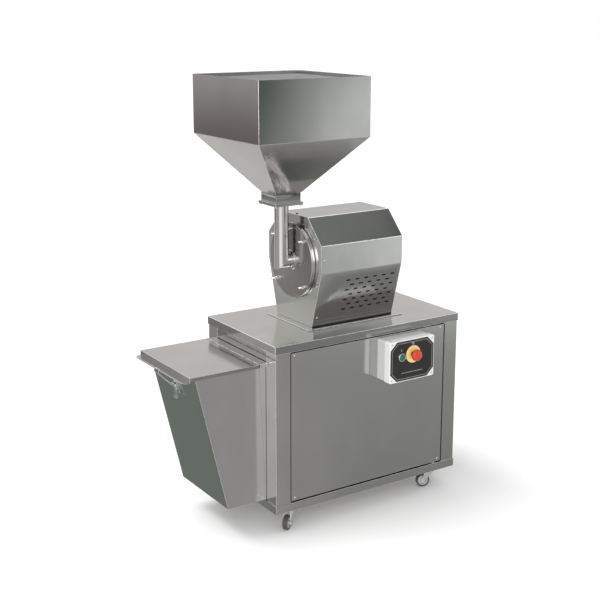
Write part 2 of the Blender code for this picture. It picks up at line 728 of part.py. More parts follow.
def make_rotor(looks, machine):
    steel = looks["rotor"]
    centre = Vector((0.0, 0.0, MILL_Z))
    spin = pivot("rotor_axis", centre, machine)
    turned("main_shaft", rod(SHAFT_R, DISC_X[0] - 0.006, 0.140), "x", centre, steel, spin, centre,
           steps=24)
    bore = SHAFT_R + GAP
    x0, x1 = DISC_X
    profile = [(x0, bore), (x0, DISC_R), (x0 + DISC_T, DISC_R), (x0 + DISC_T, 0.022),
               (x1 - DISC_T, 0.022), (x1 - DISC_T, DISC_R), (x1, DISC_R), (x1, bore)]
    rotor = turned("rotor", profile, "x", centre, steel, spin, centre, steps=36)
    for number in range(4):
        angle = radians(FIRST_PIN + 90 * number)
        place = Vector((0.0, PIN_RADIUS * sin(angle), MILL_Z + PIN_RADIUS * cos(angle)))
        weld(rotor, turned(f"rotor_pin_{number + 1}", rod(PIN_R, x0 - 0.002, x1 + 0.002), "x",
                           place, steel, spin, centre, steps=12))
    fan_start = MOTOR_END + 0.008
    fan = turned("motor_fan", tube(bore, 0.060, fan_start, fan_start + 0.004), "x", centre,
                 looks["motor"], spin, centre, steps=24)
    for number in range(6):
        blade = bmesh.new()
        add_block(blade, (fan_start + 0.003, -0.001, 0.024), (fan_start + 0.022, 0.001, 0.058))
        turn = Matrix.Translation(centre) @ Matrix.Rotation(radians(60 * number), 4, "X")
        bmesh.ops.transform(blade, matrix=turn, verts=blade.verts)
        weld(fan, keep(f"fan_blade_{number + 1}", blade, looks["motor"], spin, centre))
    return spin, centre


def make_hammer(number, looks, spin, centre):
    """One swinging hammer: a bar with a bore at its inner end, on a pin of the rotor."""
    angle = FIRST_PIN + 90 * (number - 1)
    turn = Matrix.Rotation(radians(-angle), 4, "X")
    pin = turn @ Vector((0.0, 0.0, PIN_RADIUS))
    swing = pivot(f"hammer_pin_{number}", pin, spin)
    shape = bmesh.new()
    nose = arc((0.0, PIN_RADIUS), HAMMER_IN, -90 - 75, -90 + 75, 8)
    tip = PIN_RADIUS + HAMMER_OUT
    outline = nose + [(HAMMER_HALF, PIN_RADIUS), (HAMMER_HALF, tip), (-HAMMER_HALF, tip),
                      (-HAMMER_HALF, PIN_RADIUS)]
    middle = (DISC_X[0] + DISC_X[1]) / 2
    add_prism(shape, outline, "x", middle - 0.020, middle + 0.020)
    bmesh.ops.transform(shape, matrix=turn, verts=shape.verts)
    bmesh.ops.translate(shape, vec=centre, verts=shape.verts)
    rest = centre + pin
    hammer = keep(f"hammer_{number}", shape, looks["rotor"], swing, rest)
    cut(hammer, turned(f"hammer_bore_{number}", rod(PIN_R + 0.0004, middle - FAR - 0.010,
                                                    middle + FAR + 0.010),
                       "x", rest, looks["rotor"], swing, rest, steps=16))


def make_controls(looks, machine):
    plastic = looks["box"]
    low = (BOX_X[0], BOX_SPLIT, BOX_Z[0])
    high = (BOX_X[1], -BODY_HALF[1] + PANEL_INSET - GAP, BOX_Z[1])
    pan("control_box", low, high, BOX_WALL, "-y", plastic, machine)
    cover = pan("control_box_lid", (BOX_X[0], BOX_FRONT, BOX_Z[0]),
                (BOX_X[1], BOX_SPLIT - GAP, BOX_Z[1]), BOX_WALL, "+y", plastic, machine)
    start = Vector((START_AT[0], BOX_FRONT, START_AT[1]))
    stop = Vector((STOP_AT[0], BOX_FRONT, STOP_AT[1]))
    for name, place, radius in (("start_hole", start, START_R + 0.0004),
                                ("stop_hole", stop, STEM_R + 0.0005)):
        cut(cover, turned(name, rod(radius, BOX_FRONT - FAR, BOX_FRONT + FAR), "y", place,
                          plastic, machine))

    press = pivot("start_axis", start, machine)
    green = [(BOX_FRONT + 0.012, 0.0), (BOX_FRONT + 0.012, START_R), (BOX_FRONT - 0.006, START_R),
             (BOX_FRONT - 0.0075, START_R - 0.0015), (BOX_FRONT - 0.0075, 0.0)]
    turned("start_button", green, "y", start, looks["green"], press, start, steps=24)

    ring = BOX_FRONT - GAP
    turned("stop_collar", tube(STEM_R + 0.0005, COLLAR_R, ring - COLLAR, ring), "y", stop,
           looks["yellow"], machine)
    push = pivot("stop_axis", stop, machine)
    neck = BOX_FRONT - NECK
    turned("stop_stem", rod(STEM_R, neck, BOX_FRONT + 0.016), "y", stop, looks["stem"], push,
           stop, steps=24)
    twist = pivot("stop_twist_axis", (0.0, 0.0, 0.0), push)
    back = neck - GAP
    depth = back - STOP_FRONT
    dome = [(back, 0.0), (back, 0.013), (back - 0.003, HEAD_R - 0.0015), (back - 0.006, HEAD_R),
            (back - 0.011, HEAD_R)]
    for i in range(1, 5):
        lean = radians(90 * i / 5)
        dome.append((back - 0.011 - (depth - 0.011) * sin(lean), HEAD_R * cos(lean)))
    dome.append((STOP_FRONT, 0.0))
    turned("stop_head", dome, "y", stop, looks["red"], twist, stop, steps=28)


def make_looks():
    return {
        "sheet": finish("brushed_sheet", (0.42, 0.42, 0.40), 0.32, 1.0),
        "plate": finish("casing_plate", (0.38, 0.38, 0.37), 0.40, 1.0),
        "pipe": finish("polished_pipe", (0.55, 0.55, 0.53), 0.18, 1.0),
        "bright": finish("bright_fittings", (0.62, 0.62, 0.60), 0.22, 1.0),
        "pin": finish("hinge_pin", (0.50, 0.50, 0.49), 0.28, 1.0),
        "zinc": finish("zinc_castor", (0.50, 0.51, 0.52), 0.35, 1.0),
        "tread": finish("grey_rubber", (0.20, 0.19, 0.19), 0.65, 0.0),
        "rotor": finish("rotor_steel", (0.30, 0.30, 0.30), 0.45, 1.0),
        "motor": finish("motor_paint", (0.12, 0.16, 0.20), 0.45, 0.0),
        "box": finish("grey_plastic", (0.66, 0.66, 0.65), 0.45, 0.0),
        "green": finish("green_plastic", (0.02, 0.28, 0.14), 0.35, 0.0),
        "yellow": finish("yellow_plastic", (0.85, 0.62, 0.03), 0.40, 0.0),
        "red": finish("red_plastic", (0.70, 0.03, 0.02), 0.30, 0.0),
        "stem": finish("black_plastic", (0.02, 0.02, 0.02), 0.45, 0.0),
    }


def shade():
    for item in bpy.data.objects:
        if item.type == "MESH":
            item.data.shade_smooth()
            item.data.set_sharp_from_angle(angle=radians(35))


def main():
    clear_scene()
    looks = make_looks()
    machine = pivot("machine", (-MIDDLE_X, -MIDDLE_Y, 0.0))
    make_cabinet(looks, machine)

    drawer = pivot("bin_slide", (0.0, 0.0, 0.0), machine)
    make_bin(looks, drawer)
    make_lid(looks, pivot("lid_axis", HINGE, drawer))
    make_latch_base(looks, drawer)
    lever_at = latch_point(*LATCH_PIVOT)
    bail_at = latch_point(*BAIL_PIVOT)
    lever = pivot("latch_axis", lever_at, drawer)
    make_latch_lever(looks, lever, lever_at)
    make_latch_bail(looks, pivot("bail_axis", bail_at - lever_at, lever), bail_at)

    for side, sy in (("front", -1), ("back", 1)):
        for end, sx in (("left", -1), ("right", 1)):
            make_castor(f"{side}_{end}", sx, sy, looks, machine)

    face = make_casing(looks, machine)
    make_knobs(looks, machine, face)
    make_feed(looks, machine)
    make_guard(looks, machine)
    make_motor(looks, machine)
    spin, centre = make_rotor(looks, machine)
    for number in range(1, 5):
        make_hammer(number, looks, spin, centre)
    make_controls(looks, machine)
    shade()


main()
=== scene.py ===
# %% [markdown]
# # A hammer mill in brushed stainless sheet
#
# This lesson finishes a hammer mill whose solids are already designed. The solids
# give every size and place. Here each sheet gets its rounded folds, the fittings get
# their small parts, and every surface gets a finish made from nodes.
#
# The first cell loads the solids as a fixed frame and keeps their outer box.

import json
from math import cos, pi, radians, sin

import bmesh
import bpy
from mathutils import Matrix, Vector


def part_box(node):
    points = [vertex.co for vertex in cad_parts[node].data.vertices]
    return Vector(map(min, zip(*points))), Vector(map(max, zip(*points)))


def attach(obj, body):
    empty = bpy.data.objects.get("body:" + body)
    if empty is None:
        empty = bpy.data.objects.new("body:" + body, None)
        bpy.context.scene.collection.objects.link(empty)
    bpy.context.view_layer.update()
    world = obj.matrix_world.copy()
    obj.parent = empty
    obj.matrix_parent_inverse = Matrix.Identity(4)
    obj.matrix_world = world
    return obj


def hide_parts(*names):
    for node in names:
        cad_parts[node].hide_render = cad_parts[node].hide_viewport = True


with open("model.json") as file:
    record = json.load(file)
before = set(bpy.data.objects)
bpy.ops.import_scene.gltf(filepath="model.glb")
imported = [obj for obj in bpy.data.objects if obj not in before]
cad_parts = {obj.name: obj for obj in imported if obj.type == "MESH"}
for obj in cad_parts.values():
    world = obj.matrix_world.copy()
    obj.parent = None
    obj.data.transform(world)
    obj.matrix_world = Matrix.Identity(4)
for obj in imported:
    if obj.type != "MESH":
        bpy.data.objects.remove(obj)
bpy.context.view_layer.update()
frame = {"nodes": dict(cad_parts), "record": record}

# %% [markdown]
# ## Places that the whole lesson shares
#
# The worktop's box gives the cabinet's middle, and the rotor's shaft gives the mill's
# axis. Everything that is made below is placed from boxes like these, so that it stays
# right if the design changes.

# %% Shared places
top_low, top_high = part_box("worktop")
middle = (top_low + top_high) / 2
middle.z = 0.0
shaft_low, shaft_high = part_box("main_shaft")
mill_z = (shaft_low.z + shaft_high.z) / 2
print("middle of the cabinet", tuple(round(v, 4) for v in middle), "shaft height", round(mill_z, 4))

# %% [markdown]
# ## Camera
#
# The machine is seen from the bin's end and the switch box's side, from a little above
# eye level, with a short telephoto lens. A small vertical shift keeps the upright edges
# nearly upright.

# %% Camera
camera_data = bpy.data.cameras.new("camera")
camera_data.lens = 67.4
camera_data.sensor_width = 36.0
camera_data.shift_y = -0.055
camera = bpy.data.objects.new("camera", camera_data)
bpy.context.collection.objects.link(camera)
camera.location = middle + Vector((-2.176, -3.1135, 1.7025))
camera.rotation_mode = "XYZ"
camera.rotation_euler = (radians(90 - 13.08), 0.0, radians(56.83 - 90))
bpy.context.scene.camera = camera
bpy.context.scene.view_settings.view_transform = "Standard"
print("camera at", tuple(round(v, 3) for v in camera.location))

# %% [markdown]
# ## Light
#
# Stainless steel has no colour of its own to speak of: it shows the room. The room here
# is a white studio. Rays that light the floor and the plastics meet plain white, and
# mirror-like rays meet soft cards of grey in the directions that the upright faces look
# at, which give those faces their tone. Each card is a soft spot around a direction,
# made from a dot product.

# %% Light helpers
def wire(tree, start, end):
    """Join an output socket to an input socket."""
    tree.links.new(start, end)


def math_node(tree, operation, first, second=None, clamp=False):
    """A Math node whose inputs are sockets or numbers; gives its output socket."""
    node = tree.nodes.new("ShaderNodeMath")
    node.operation = operation
    node.use_clamp = clamp
    for socket, value in zip(node.inputs, (first, second)):
        if value is None:
            continue
        if isinstance(value, bpy.types.NodeSocket):
            wire(tree, value, socket)
        else:
            socket.default_value = value
    return node.outputs[0]


def mix_colour(tree, factor, first, second, blend="MIX"):
    """A colour Mix node whose inputs are sockets or colours; gives its output socket."""
    node = tree.nodes.new("ShaderNodeMix")
    node.data_type = "RGBA"
    node.blend_type = blend
    for socket, value in ((node.inputs[0], factor), (node.inputs[6], first),
                          (node.inputs[7], second)):
        if isinstance(value, bpy.types.NodeSocket):
            wire(tree, value, socket)
        elif isinstance(value, (int, float)):
            socket.default_value = value
        else:
            socket.default_value = (*value, 1.0)
    return node.outputs[2]


def ramp_value(tree, value, low, high, smooth=True):
    """Map a value from low..high to 0..1."""
    node = tree.nodes.new("ShaderNodeMapRange")
    node.interpolation_type = "SMOOTHSTEP" if smooth else "LINEAR"
    wire(tree, value, node.inputs[0])
    node.inputs[1].default_value = low
    node.inputs[2].default_value = high
    return node.outputs[0]


print("node helpers ready")

# %% [markdown]
# ### How a node group is made
#
# A surface effect that several finishes need is built once, as a node group with named
# sockets. These helpers make an empty group, a noise in the object's own coordinates,
# and a small ramp that spreads a value between two limits. Object coordinates are used
# because they stay fixed to the steel when a part moves.

# %% Node group helpers
def new_group(name, inputs, outputs):
    """A shader node group with named float inputs and named outputs."""
    group = bpy.data.node_groups.new(name, "ShaderNodeTree")
    for label, value in inputs:
        socket = group.interface.new_socket(label, in_out="INPUT", socket_type="NodeSocketFloat")
        socket.default_value = value
    for label, kind in outputs:
        group.interface.new_socket(label, in_out="OUTPUT", socket_type=kind)
    return group, group.nodes.new("NodeGroupInput"), group.nodes.new("NodeGroupOutput")


def noise(group, scales, detail=2.0, roughness=0.5):
    """Noise over Object coordinates, stretched by a scale for each axis."""
    place = group.nodes.new("ShaderNodeTexCoord")
    mapping = group.nodes.new("ShaderNodeMapping")
    mapping.inputs["Scale"].default_value = scales
    wire(group, place.outputs["Object"], mapping.inputs["Vector"])
    made = group.nodes.new("ShaderNodeTexNoise")
    made.inputs["Scale"].default_value = 1.0
    made.inputs["Detail"].default_value = detail
    made.inputs["Roughness"].default_value = roughness
    wire(group, mapping.outputs["Vector"], made.inputs["Vector"])
    return made.outputs[0]


print("group helpers ready")

# %% [markdown]
# ### A soft card
#
# White, grey and black cards stand around bright steel in a studio, because the steel
# only shows what is around it. One card here is a direction with a width, a height
# and a soft edge. The group takes the ray's direction, measures how far it is off the
# card's middle with dot products, and gives back a mask.

# %% A soft card, as a node group
card, card_in, card_out = new_group(
    "soft_card",
    (("Width", 0.2), ("Height", 0.2), ("Edge", 0.1)),
    (("Mask", "NodeSocketFloat"),))
for label in ("Forward", "Side", "Up"):
    card.interface.new_socket(label, in_out="INPUT", socket_type="NodeSocketVector")
looking = card.nodes.new("ShaderNodeTexCoord").outputs["Generated"]
parts = {}
for label in ("Forward", "Side", "Up"):
    dot = card.nodes.new("ShaderNodeVectorMath")
    dot.operation = "DOT_PRODUCT"
    wire(card, looking, dot.inputs[0])
    wire(card, card_in.outputs[label], dot.inputs[1])
    parts[label] = dot.outputs["Value"]
mask = math_node(card, "GREATER_THAN", parts["Forward"], 0.0)
for label, size in (("Side", "Width"), ("Up", "Height")):
    away = math_node(card, "SUBTRACT", math_node(card, "ABSOLUTE", parts[label]),
                     card_in.outputs[size])
    share = math_node(card, "DIVIDE", away, card_in.outputs["Edge"])
    inside = ramp_value(card, share, 0.5, -0.5)
    mask = math_node(card, "MULTIPLY", mask, inside)
wire(card, mask, card_out.inputs["Mask"])
print("group", card.name, [item.name for item in card.interface.items_tree])

# %% [markdown]
# ### The studio's cards
#
# Each row below is one card. A front card gives the long side of the machine its grey,
# a dark band gives the dark foot of the guard, and the cards over the machine give the
# worktop and the guard's slopes their tone. Rays that light the floor and the plastics
# do not see the cards, so moving a card changes the steel and nothing else.

# %% The studio's cards
# Each row: name, compass angle from +X, height above the horizon, half width, half
# height, soft edge (all in degrees), and the card's tone.
ROOM = (0.79, 0.765, 0.755)
CARDS = (
    ("low_grey", 0, -62, 50, 30, 25, (0.50, 0.51, 0.49)),
    ("front_grey", -55, -20, 26, 26, 14, (0.375, 0.385, 0.360)),
    ("front_bright", -44, -8.5, 12, 6.5, 4, (0.95, 1.00, 0.96)),
    ("front_dark", -66, -3, 9, 10, 4, (0.06, 0.075, 0.07)),
    ("front_low", -50, -34, 20, 9, 10, (0.29, 0.30, 0.28)),
    ("front_left", -67, -24, 9, 13, 5, (0.50, 0.475, 0.49)),
    ("right_grey", -31, 54, 15, 15, 8, (0.27, 0.29, 0.28)),
    ("right_dark", -15, 41, 9, 9, 5, (0.06, 0.07, 0.065)),
    ("back_grey", 124, -16, 22, 26, 14, (0.345, 0.325, 0.32)),
    ("back_top", 124, 7, 22, 10, 5, (0.62, 0.60, 0.60)),
    ("back_band", 124, -8, 20, 2.5, 3, (0.17, 0.15, 0.145)),
    ("back_light", 120, -12.8, 7, 2.2, 3, (0.62, 0.64, 0.60)),
    ("back_low", 112, -32, 11, 7, 6, (0.20, 0.235, 0.205)),
    ("camera_side", -150, 8, 34, 34, 16, (1.35, 1.35, 1.33)),
    ("over_back", 38, 48, 10, 9, 8, (2.2, 2.2, 2.15)),
    ("over_front", -54, 14, 16, 6, 6, (1.7, 1.75, 1.7)),
    ("over_dark", -48, 39, 16, 10, 9, (0.34, 0.32, 0.31)),
    ("over_left", 104, 34, 14, 8, 8, (1.6, 1.58, 1.55)),
    ("over_plate", 124, 17, 7, 5, 4, (1.15, 1.18, 1.13)),
    ("far_back", 40, -12, 22, 20, 14, (0.50, 0.50, 0.49)),
    ("far_left", 178, -12, 22, 18, 14, (0.55, 0.54, 0.53)),
)
AMBIENT = (0.82, 0.82, 0.82)

world = bpy.data.worlds.new("studio")
world.use_nodes = True
bpy.context.scene.world = world
tree = world.node_tree
tree.nodes.clear()
colour = ROOM
for name, compass, height, half_width, half_height, edge, tone in CARDS:
    node = tree.nodes.new("ShaderNodeGroup")
    node.node_tree = card
    node.label = name
    forward = Vector((cos(radians(height)) * cos(radians(compass)),
                      cos(radians(height)) * sin(radians(compass)), sin(radians(height))))
    side = Vector((-sin(radians(compass)), cos(radians(compass)), 0.0))
    for label, vector in (("Forward", forward), ("Side", side), ("Up", forward.cross(side))):
        node.inputs[label].default_value = vector
    for label, angle in (("Width", half_width), ("Height", half_height), ("Edge", edge)):
        node.inputs[label].default_value = sin(radians(angle))
    colour = mix_colour(tree, node.outputs["Mask"], colour, tone)
rays = tree.nodes.new("ShaderNodeLightPath")
lit = mix_colour(tree, rays.outputs["Is Camera Ray"], AMBIENT, (1.0, 1.0, 1.0))
shown = mix_colour(tree, rays.outputs["Is Glossy Ray"], lit, colour)
background = tree.nodes.new("ShaderNodeBackground")
wire(tree, shown, background.inputs["Color"])
output = tree.nodes.new("ShaderNodeOutputWorld")
wire(tree, background.outputs[0], output.inputs[0])
print("cards", [row[0] for row in CARDS])

# %% [markdown]
# ### Lamps
#
# A large soft sun from high at the back left drops the shadow to the front right of the
# castors. A weak square lamp near the camera fills the shaded sides of the plastic box.

# %% Lamps
def aim(thing, target):
    """Point a lamp at a place."""
    thing.rotation_mode = "QUATERNION"
    thing.rotation_quaternion = (Vector(target) - thing.location).to_track_quat("-Z", "Y")


sun_data = bpy.data.lights.new("high_sun", "SUN")
sun_data.energy = 1.3
sun_data.angle = radians(28)
sun = bpy.data.objects.new("high_sun", sun_data)
bpy.context.collection.objects.link(sun)
sun.location = middle + Vector((-1.6, 1.0, 3.6))
aim(sun, middle)

fill_data = bpy.data.lights.new("front_fill", "AREA")
fill_data.shape = "SQUARE"
fill_data.size = 1.6
fill_data.energy = 30.0
fill = bpy.data.objects.new("front_fill", fill_data)
bpy.context.collection.objects.link(fill)
fill.location = middle + Vector((-2.3, -2.5, 1.7))
aim(fill, middle + Vector((0.0, 0.0, 0.6)))
print("lamps", sun.name, fill.name)

# %% [markdown]
# ## Floor
#
# A very pale floor takes the soft shadow. It is hidden from mirror-like rays, so that
# the steel shows the room's cards and not an endless white sheet.

# %% Floor
FLOOR_HALF = 30.0
shape = bmesh.new()
bmesh.ops.create_grid(shape, x_segments=2, y_segments=2, size=FLOOR_HALF)
floor_mesh = bpy.data.meshes.new("floor")
shape.to_mesh(floor_mesh)
shape.free()
floor = bpy.data.objects.new("floor", floor_mesh)
bpy.context.collection.objects.link(floor)
floor.location.z = -0.0005
floor.visible_glossy = False
paper = bpy.data.materials.new("paper_floor")
paper.use_nodes = True
paper_shader = paper.node_tree.nodes["Principled BSDF"]
paper_shader.inputs["Base Color"].default_value = (0.97, 0.97, 0.97, 1.0)
paper_shader.inputs["Roughness"].default_value = 0.9
paper_shader.inputs["Specular IOR Level"].default_value = 0.0
floor_mesh.materials.append(paper)
print("floor", 2 * FLOOR_HALF, "m across")

# %% [markdown]
# ## Shared surface effects
#
# An effect that more than one finish uses is a node group with named sockets. *Satin
# grain* comes first. It is the fine line that a belt leaves on stainless sheet, and it
# runs along upright faces from side to side, and along tops from end to end. Its `Wave`
# adds the slow unevenness of thin sheet, which bends the reflections a little.

# %% Satin grain
grain, grain_in, grain_out = new_group(
    "satin_grain",
    (("Depth", 0.1), ("Wave", 0.0)),
    (("Shade", "NodeSocketFloat"), ("Normal", "NodeSocketVector")))
upright = noise(grain, (5.0, 5.0, 900.0), 3.0, 0.6)
level = noise(grain, (5.0, 900.0, 5.0), 3.0, 0.6)
facing = grain.nodes.new("ShaderNodeTexCoord")
split = grain.nodes.new("ShaderNodeSeparateXYZ")
wire(grain, facing.outputs["Normal"], split.inputs[0])
tilt = math_node(grain, "ABSOLUTE", split.outputs["Z"])
flatness = ramp_value(grain, tilt, 0.75, 0.95)
streaks = math_node(grain, "ADD",
                    math_node(grain, "MULTIPLY", upright,
                              math_node(grain, "SUBTRACT", 1.0, flatness)),
                    math_node(grain, "MULTIPLY", level, flatness))
wave = grain.nodes.new("ShaderNodeBump")
wave.inputs["Distance"].default_value = 0.01
wire(grain, grain_in.outputs["Wave"], wave.inputs["Strength"])
wire(grain, noise(grain, (2.0, 2.0, 1.6), 1.0, 0.4), wave.inputs["Height"])
bump = grain.nodes.new("ShaderNodeBump")
bump.inputs["Distance"].default_value = 0.0002
wire(grain, wave.outputs["Normal"], bump.inputs["Normal"])
wire(grain, grain_in.outputs["Depth"], bump.inputs["Strength"])
wire(grain, streaks, bump.inputs["Height"])
wire(grain, streaks, grain_out.inputs["Shade"])
wire(grain, bump.outputs["Normal"], grain_out.inputs["Normal"])
print("group", grain.name, [item.name for item in grain.interface.items_tree])

# %% [markdown]
# ### Handling, folds, inner faces, painted side shade and moulded skin
#
# *Handling* is the faint cloudiness of a sheet wiped by hand. The *fold* group reads the
# `fold` attribute, and the lighter folds it gives are partly wear and partly a painted
# highlight for the light that the rounded folds catch. *Inner face* reads the `inside`
# attribute of the hopper and the bin, where meal dust leaves the steel dull. *Painted
# side shade* reads the `across` attribute of upright faces of some sheets, such as narrow
# folded edges, and darkens them as painted shade.
# *Moulded skin* is the fine pebble of a plastic housing.

# %% Handling, fold wear with painted highlight, inner faces, painted side shade and moulded skin
handling, handling_in, handling_out = new_group(
    "handling", (("Amount", 1.0),), (("Cloud", "NodeSocketFloat"),))
cloud = noise(handling, (5.0, 5.0, 3.2), 3.0, 0.55)
cloud = ramp_value(handling, cloud, 0.30, 0.72)
wire(handling, math_node(handling, "MULTIPLY", cloud, handling_in.outputs["Amount"]),
     handling_out.inputs["Cloud"])

# Fold wear and painted highlight: a lighter colour on the rounded folds, partly rubbed wear and partly
# a painted highlight for the light that the folds catch.
fold_wear_highlight, fold_highlight_in, fold_highlight_out = new_group(
    "fold_wear_and_highlight", (("Amount", 1.0),), (("Mask", "NodeSocketFloat"),))
fold = fold_wear_highlight.nodes.new("ShaderNodeAttribute")
fold.attribute_name = "fold"
patchy = ramp_value(fold_wear_highlight, noise(fold_wear_highlight, (60.0, 60.0, 60.0), 2.0), 0.15, 0.55)
mask = math_node(fold_wear_highlight, "MULTIPLY", fold.outputs["Fac"], patchy)
wire(fold_wear_highlight, math_node(fold_wear_highlight, "MULTIPLY", mask, fold_highlight_in.outputs["Amount"]),
     fold_highlight_out.inputs["Mask"])

inner, inner_in, inner_out = new_group("inner_face", (("Amount", 1.0),),
                                        (("Mask", "NodeSocketFloat"),))
marked = inner.nodes.new("ShaderNodeAttribute")
marked.attribute_name = "inside"
wire(inner, math_node(inner, "MULTIPLY", marked.outputs["Fac"], inner_in.outputs["Amount"]),
     inner_out.inputs["Mask"])

# Painted shade: faces marked `across` are darkened, as painted shade on upright faces.
cross, side_shade_in, side_shade_out = new_group("painted_side_shade", (("Amount", 1.0),),
                                       (("Mask", "NodeSocketFloat"),))
shaded_side_faces = cross.nodes.new("ShaderNodeAttribute")
shaded_side_faces.attribute_name = "across"
wire(cross, math_node(cross, "MULTIPLY", shaded_side_faces.outputs["Fac"], side_shade_in.outputs["Amount"]),
     side_shade_out.inputs["Mask"])

skin, skin_in, skin_out = new_group(
    "moulded_skin", (("Depth", 0.2),),
    (("Speck", "NodeSocketFloat"), ("Normal", "NodeSocketVector")))
pebble = noise(skin, (1400.0, 1400.0, 1400.0), 2.0, 0.6)
bump = skin.nodes.new("ShaderNodeBump")
bump.inputs["Distance"].default_value = 0.0002
wire(skin, skin_in.outputs["Depth"], bump.inputs["Strength"])
wire(skin, pebble, bump.inputs["Height"])
wire(skin, pebble, skin_out.inputs["Speck"])
wire(skin, bump.outputs["Normal"], skin_out.inputs["Normal"])
print("groups", [group.name for group in bpy.data.node_groups])

# %% [markdown]
# ## Finishes
#
# Every metal finish is one recipe with its own numbers: a base colour, a second colour
# for its clouds, a lighter colour for its folds that is partly polish from wear and partly
# a painted highlight, a roughness range and a grain depth.
# The Principled shader stays in each material, and the groups only feed it.

# %% The metal recipe
def use_group(tree, group, **values):
    """Place a node group in a material with its own values."""
    node = tree.nodes.new("ShaderNodeGroup")
    node.node_tree = group
    for label, value in values.items():
        node.inputs[label.capitalize()].default_value = value
    return node


INNER_COLOUR, INNER_ROUGH, INNER_DUST = (0.55, 0.548, 0.54), 0.45, 0.88
# Colour of the painted shade on upright faces marked `across`.
PAINTED_SHADE_COLOUR = (0.26, 0.25, 0.25)


def metal(name, base, cloudy, fold_highlight_colour, rough, depth, streak=0.12, clouds=1.0, wave=0.0):
    """A satin metal: base and cloudy colours, a lighter colour on folds (partly wear, partly painted
    highlight), rough = (low, high).
    """
    made = bpy.data.materials.new(name)
    made.use_nodes = True
    tree = made.node_tree
    shader = tree.nodes["Principled BSDF"]
    lines = use_group(tree, grain, depth=depth, wave=wave)
    dull = use_group(tree, inner, amount=1.0)
    bare = math_node(tree, "MULTIPLY_ADD", dull.outputs["Mask"], -INNER_DUST)
    bare.node.inputs[2].default_value = 1.0
    wire(tree, bare, shader.inputs["Metallic"])
    wiped = use_group(tree, handling, amount=clouds)
    folds = use_group(tree, fold_wear_highlight, amount=1.0)
    shaded = mix_colour(tree, wiped.outputs["Cloud"], base, cloudy)
    dark = tuple(v * (1.0 - streak) for v in (1.0, 1.0, 1.0))
    lined = mix_colour(tree, 1.0, shaded, mix_colour(tree, lines.outputs["Shade"], dark,
                                                     (1.0, 1.0, 1.0)), "MULTIPLY")
    # Painted shade: upright faces marked `across` are mixed towards a dark colour.
    side_shade = use_group(tree, cross, amount=0.62)
    side_shaded = mix_colour(tree, side_shade.outputs["Mask"], lined, PAINTED_SHADE_COLOUR)
    # Painted highlight, partly wear: fold faces are mixed towards a lighter colour.
    outside = mix_colour(tree, folds.outputs["Mask"], side_shaded, fold_highlight_colour)
    wire(tree, mix_colour(tree, dull.outputs["Mask"], outside, INNER_COLOUR),
         shader.inputs["Base Color"])
    spread = rough[1] - rough[0]
    varied = math_node(tree, "MULTIPLY_ADD", wiped.outputs["Cloud"], spread * 0.5)
    varied.node.inputs[2].default_value = rough[0]
    lined_rough = math_node(tree, "MULTIPLY_ADD", lines.outputs["Shade"], spread * 0.5)
    wire(tree, varied, lined_rough.node.inputs[2])
    duller = math_node(tree, "MULTIPLY_ADD", dull.outputs["Mask"], INNER_ROUGH - rough[0])
    wire(tree, lined_rough, duller.node.inputs[2])
    wire(tree, duller, shader.inputs["Roughness"])
    wire(tree, lines.outputs["Normal"], shader.inputs["Normal"])
    return made


satin_sheet = metal("satin_sheet", (0.56, 0.555, 0.545), (0.52, 0.512, 0.505),
                    (0.84, 0.83, 0.81), (0.11, 0.17), 0.05, streak=0.06, wave=0.5)
cover_steel = metal("cover_steel", (0.46, 0.455, 0.445), (0.36, 0.355, 0.35),
                    (0.80, 0.79, 0.77), (0.15, 0.26), 0.08, streak=0.08, wave=1.0)
casing_steel = metal("casing_steel", (0.48, 0.48, 0.47), (0.42, 0.42, 0.41),
                     (0.62, 0.62, 0.61), (0.34, 0.46), 0.25)
weld_steel = metal("weld_steel", (0.44, 0.43, 0.42), (0.34, 0.33, 0.32),
                   (0.56, 0.55, 0.54), (0.28, 0.42), 0.20)
tube_steel = metal("tube_steel", (0.56, 0.555, 0.54), (0.50, 0.495, 0.48),
                   (0.70, 0.69, 0.67), (0.08, 0.13), 0.03, streak=0.05, clouds=0.6)
fitting_steel = metal("fitting_steel", (0.70, 0.70, 0.68), (0.62, 0.62, 0.60),
                      (0.88, 0.87, 0.85), (0.14, 0.24), 0.05, streak=0.06)
zinc_plate = metal("zinc_plate", (0.60, 0.61, 0.62), (0.50, 0.52, 0.53),
                   (0.78, 0.79, 0.80), (0.22, 0.40), 0.10, streak=0.05)
rotor_iron = metal("rotor_iron", (0.36, 0.35, 0.34), (0.24, 0.23, 0.22),
                   (0.60, 0.59, 0.58), (0.36, 0.55), 0.35, streak=0.20)
print("metals", [m.name for m in bpy.data.materials])

# %% [markdown]
# ### The plastic and paint recipe
#
# The switch box, the buttons, the black strips of painted shade and the castors' treads
# are moulded, and the motor is painted. They share one recipe: two near colours mixed by
# handling, a fine skin for the bump, and slightly lighter folds, partly a rubbed moulded
# edge and partly a painted highlight.

# %% The plastic and paint recipe
def moulded(name, base, darker, rough, depth=0.2, coat=0.0):
    """A moulded or painted finish: two near colours, a roughness range and a fine skin."""
    made = bpy.data.materials.new(name)
    made.use_nodes = True
    tree = made.node_tree
    shader = tree.nodes["Principled BSDF"]
    shader.inputs["Coat Weight"].default_value = coat
    shader.inputs["Coat Roughness"].default_value = 0.12
    pebbles = use_group(tree, skin, depth=depth)
    wiped = use_group(tree, handling, amount=1.0)
    folds = use_group(tree, fold_wear_highlight, amount=0.5)
    tone = mix_colour(tree, wiped.outputs["Cloud"], base, darker)
    # Painted highlight, partly a rubbed edge: fold faces are lighter.
    lighter = tuple(min(1.0, v * 1.25 + 0.02) for v in base)
    wire(tree, mix_colour(tree, folds.outputs["Mask"], tone, lighter),
         shader.inputs["Base Color"])
    varied = math_node(tree, "MULTIPLY_ADD", pebbles.outputs["Speck"], rough[1] - rough[0])
    varied.node.inputs[2].default_value = rough[0]
    wire(tree, varied, shader.inputs["Roughness"])
    wire(tree, pebbles.outputs["Normal"], shader.inputs["Normal"])
    return made


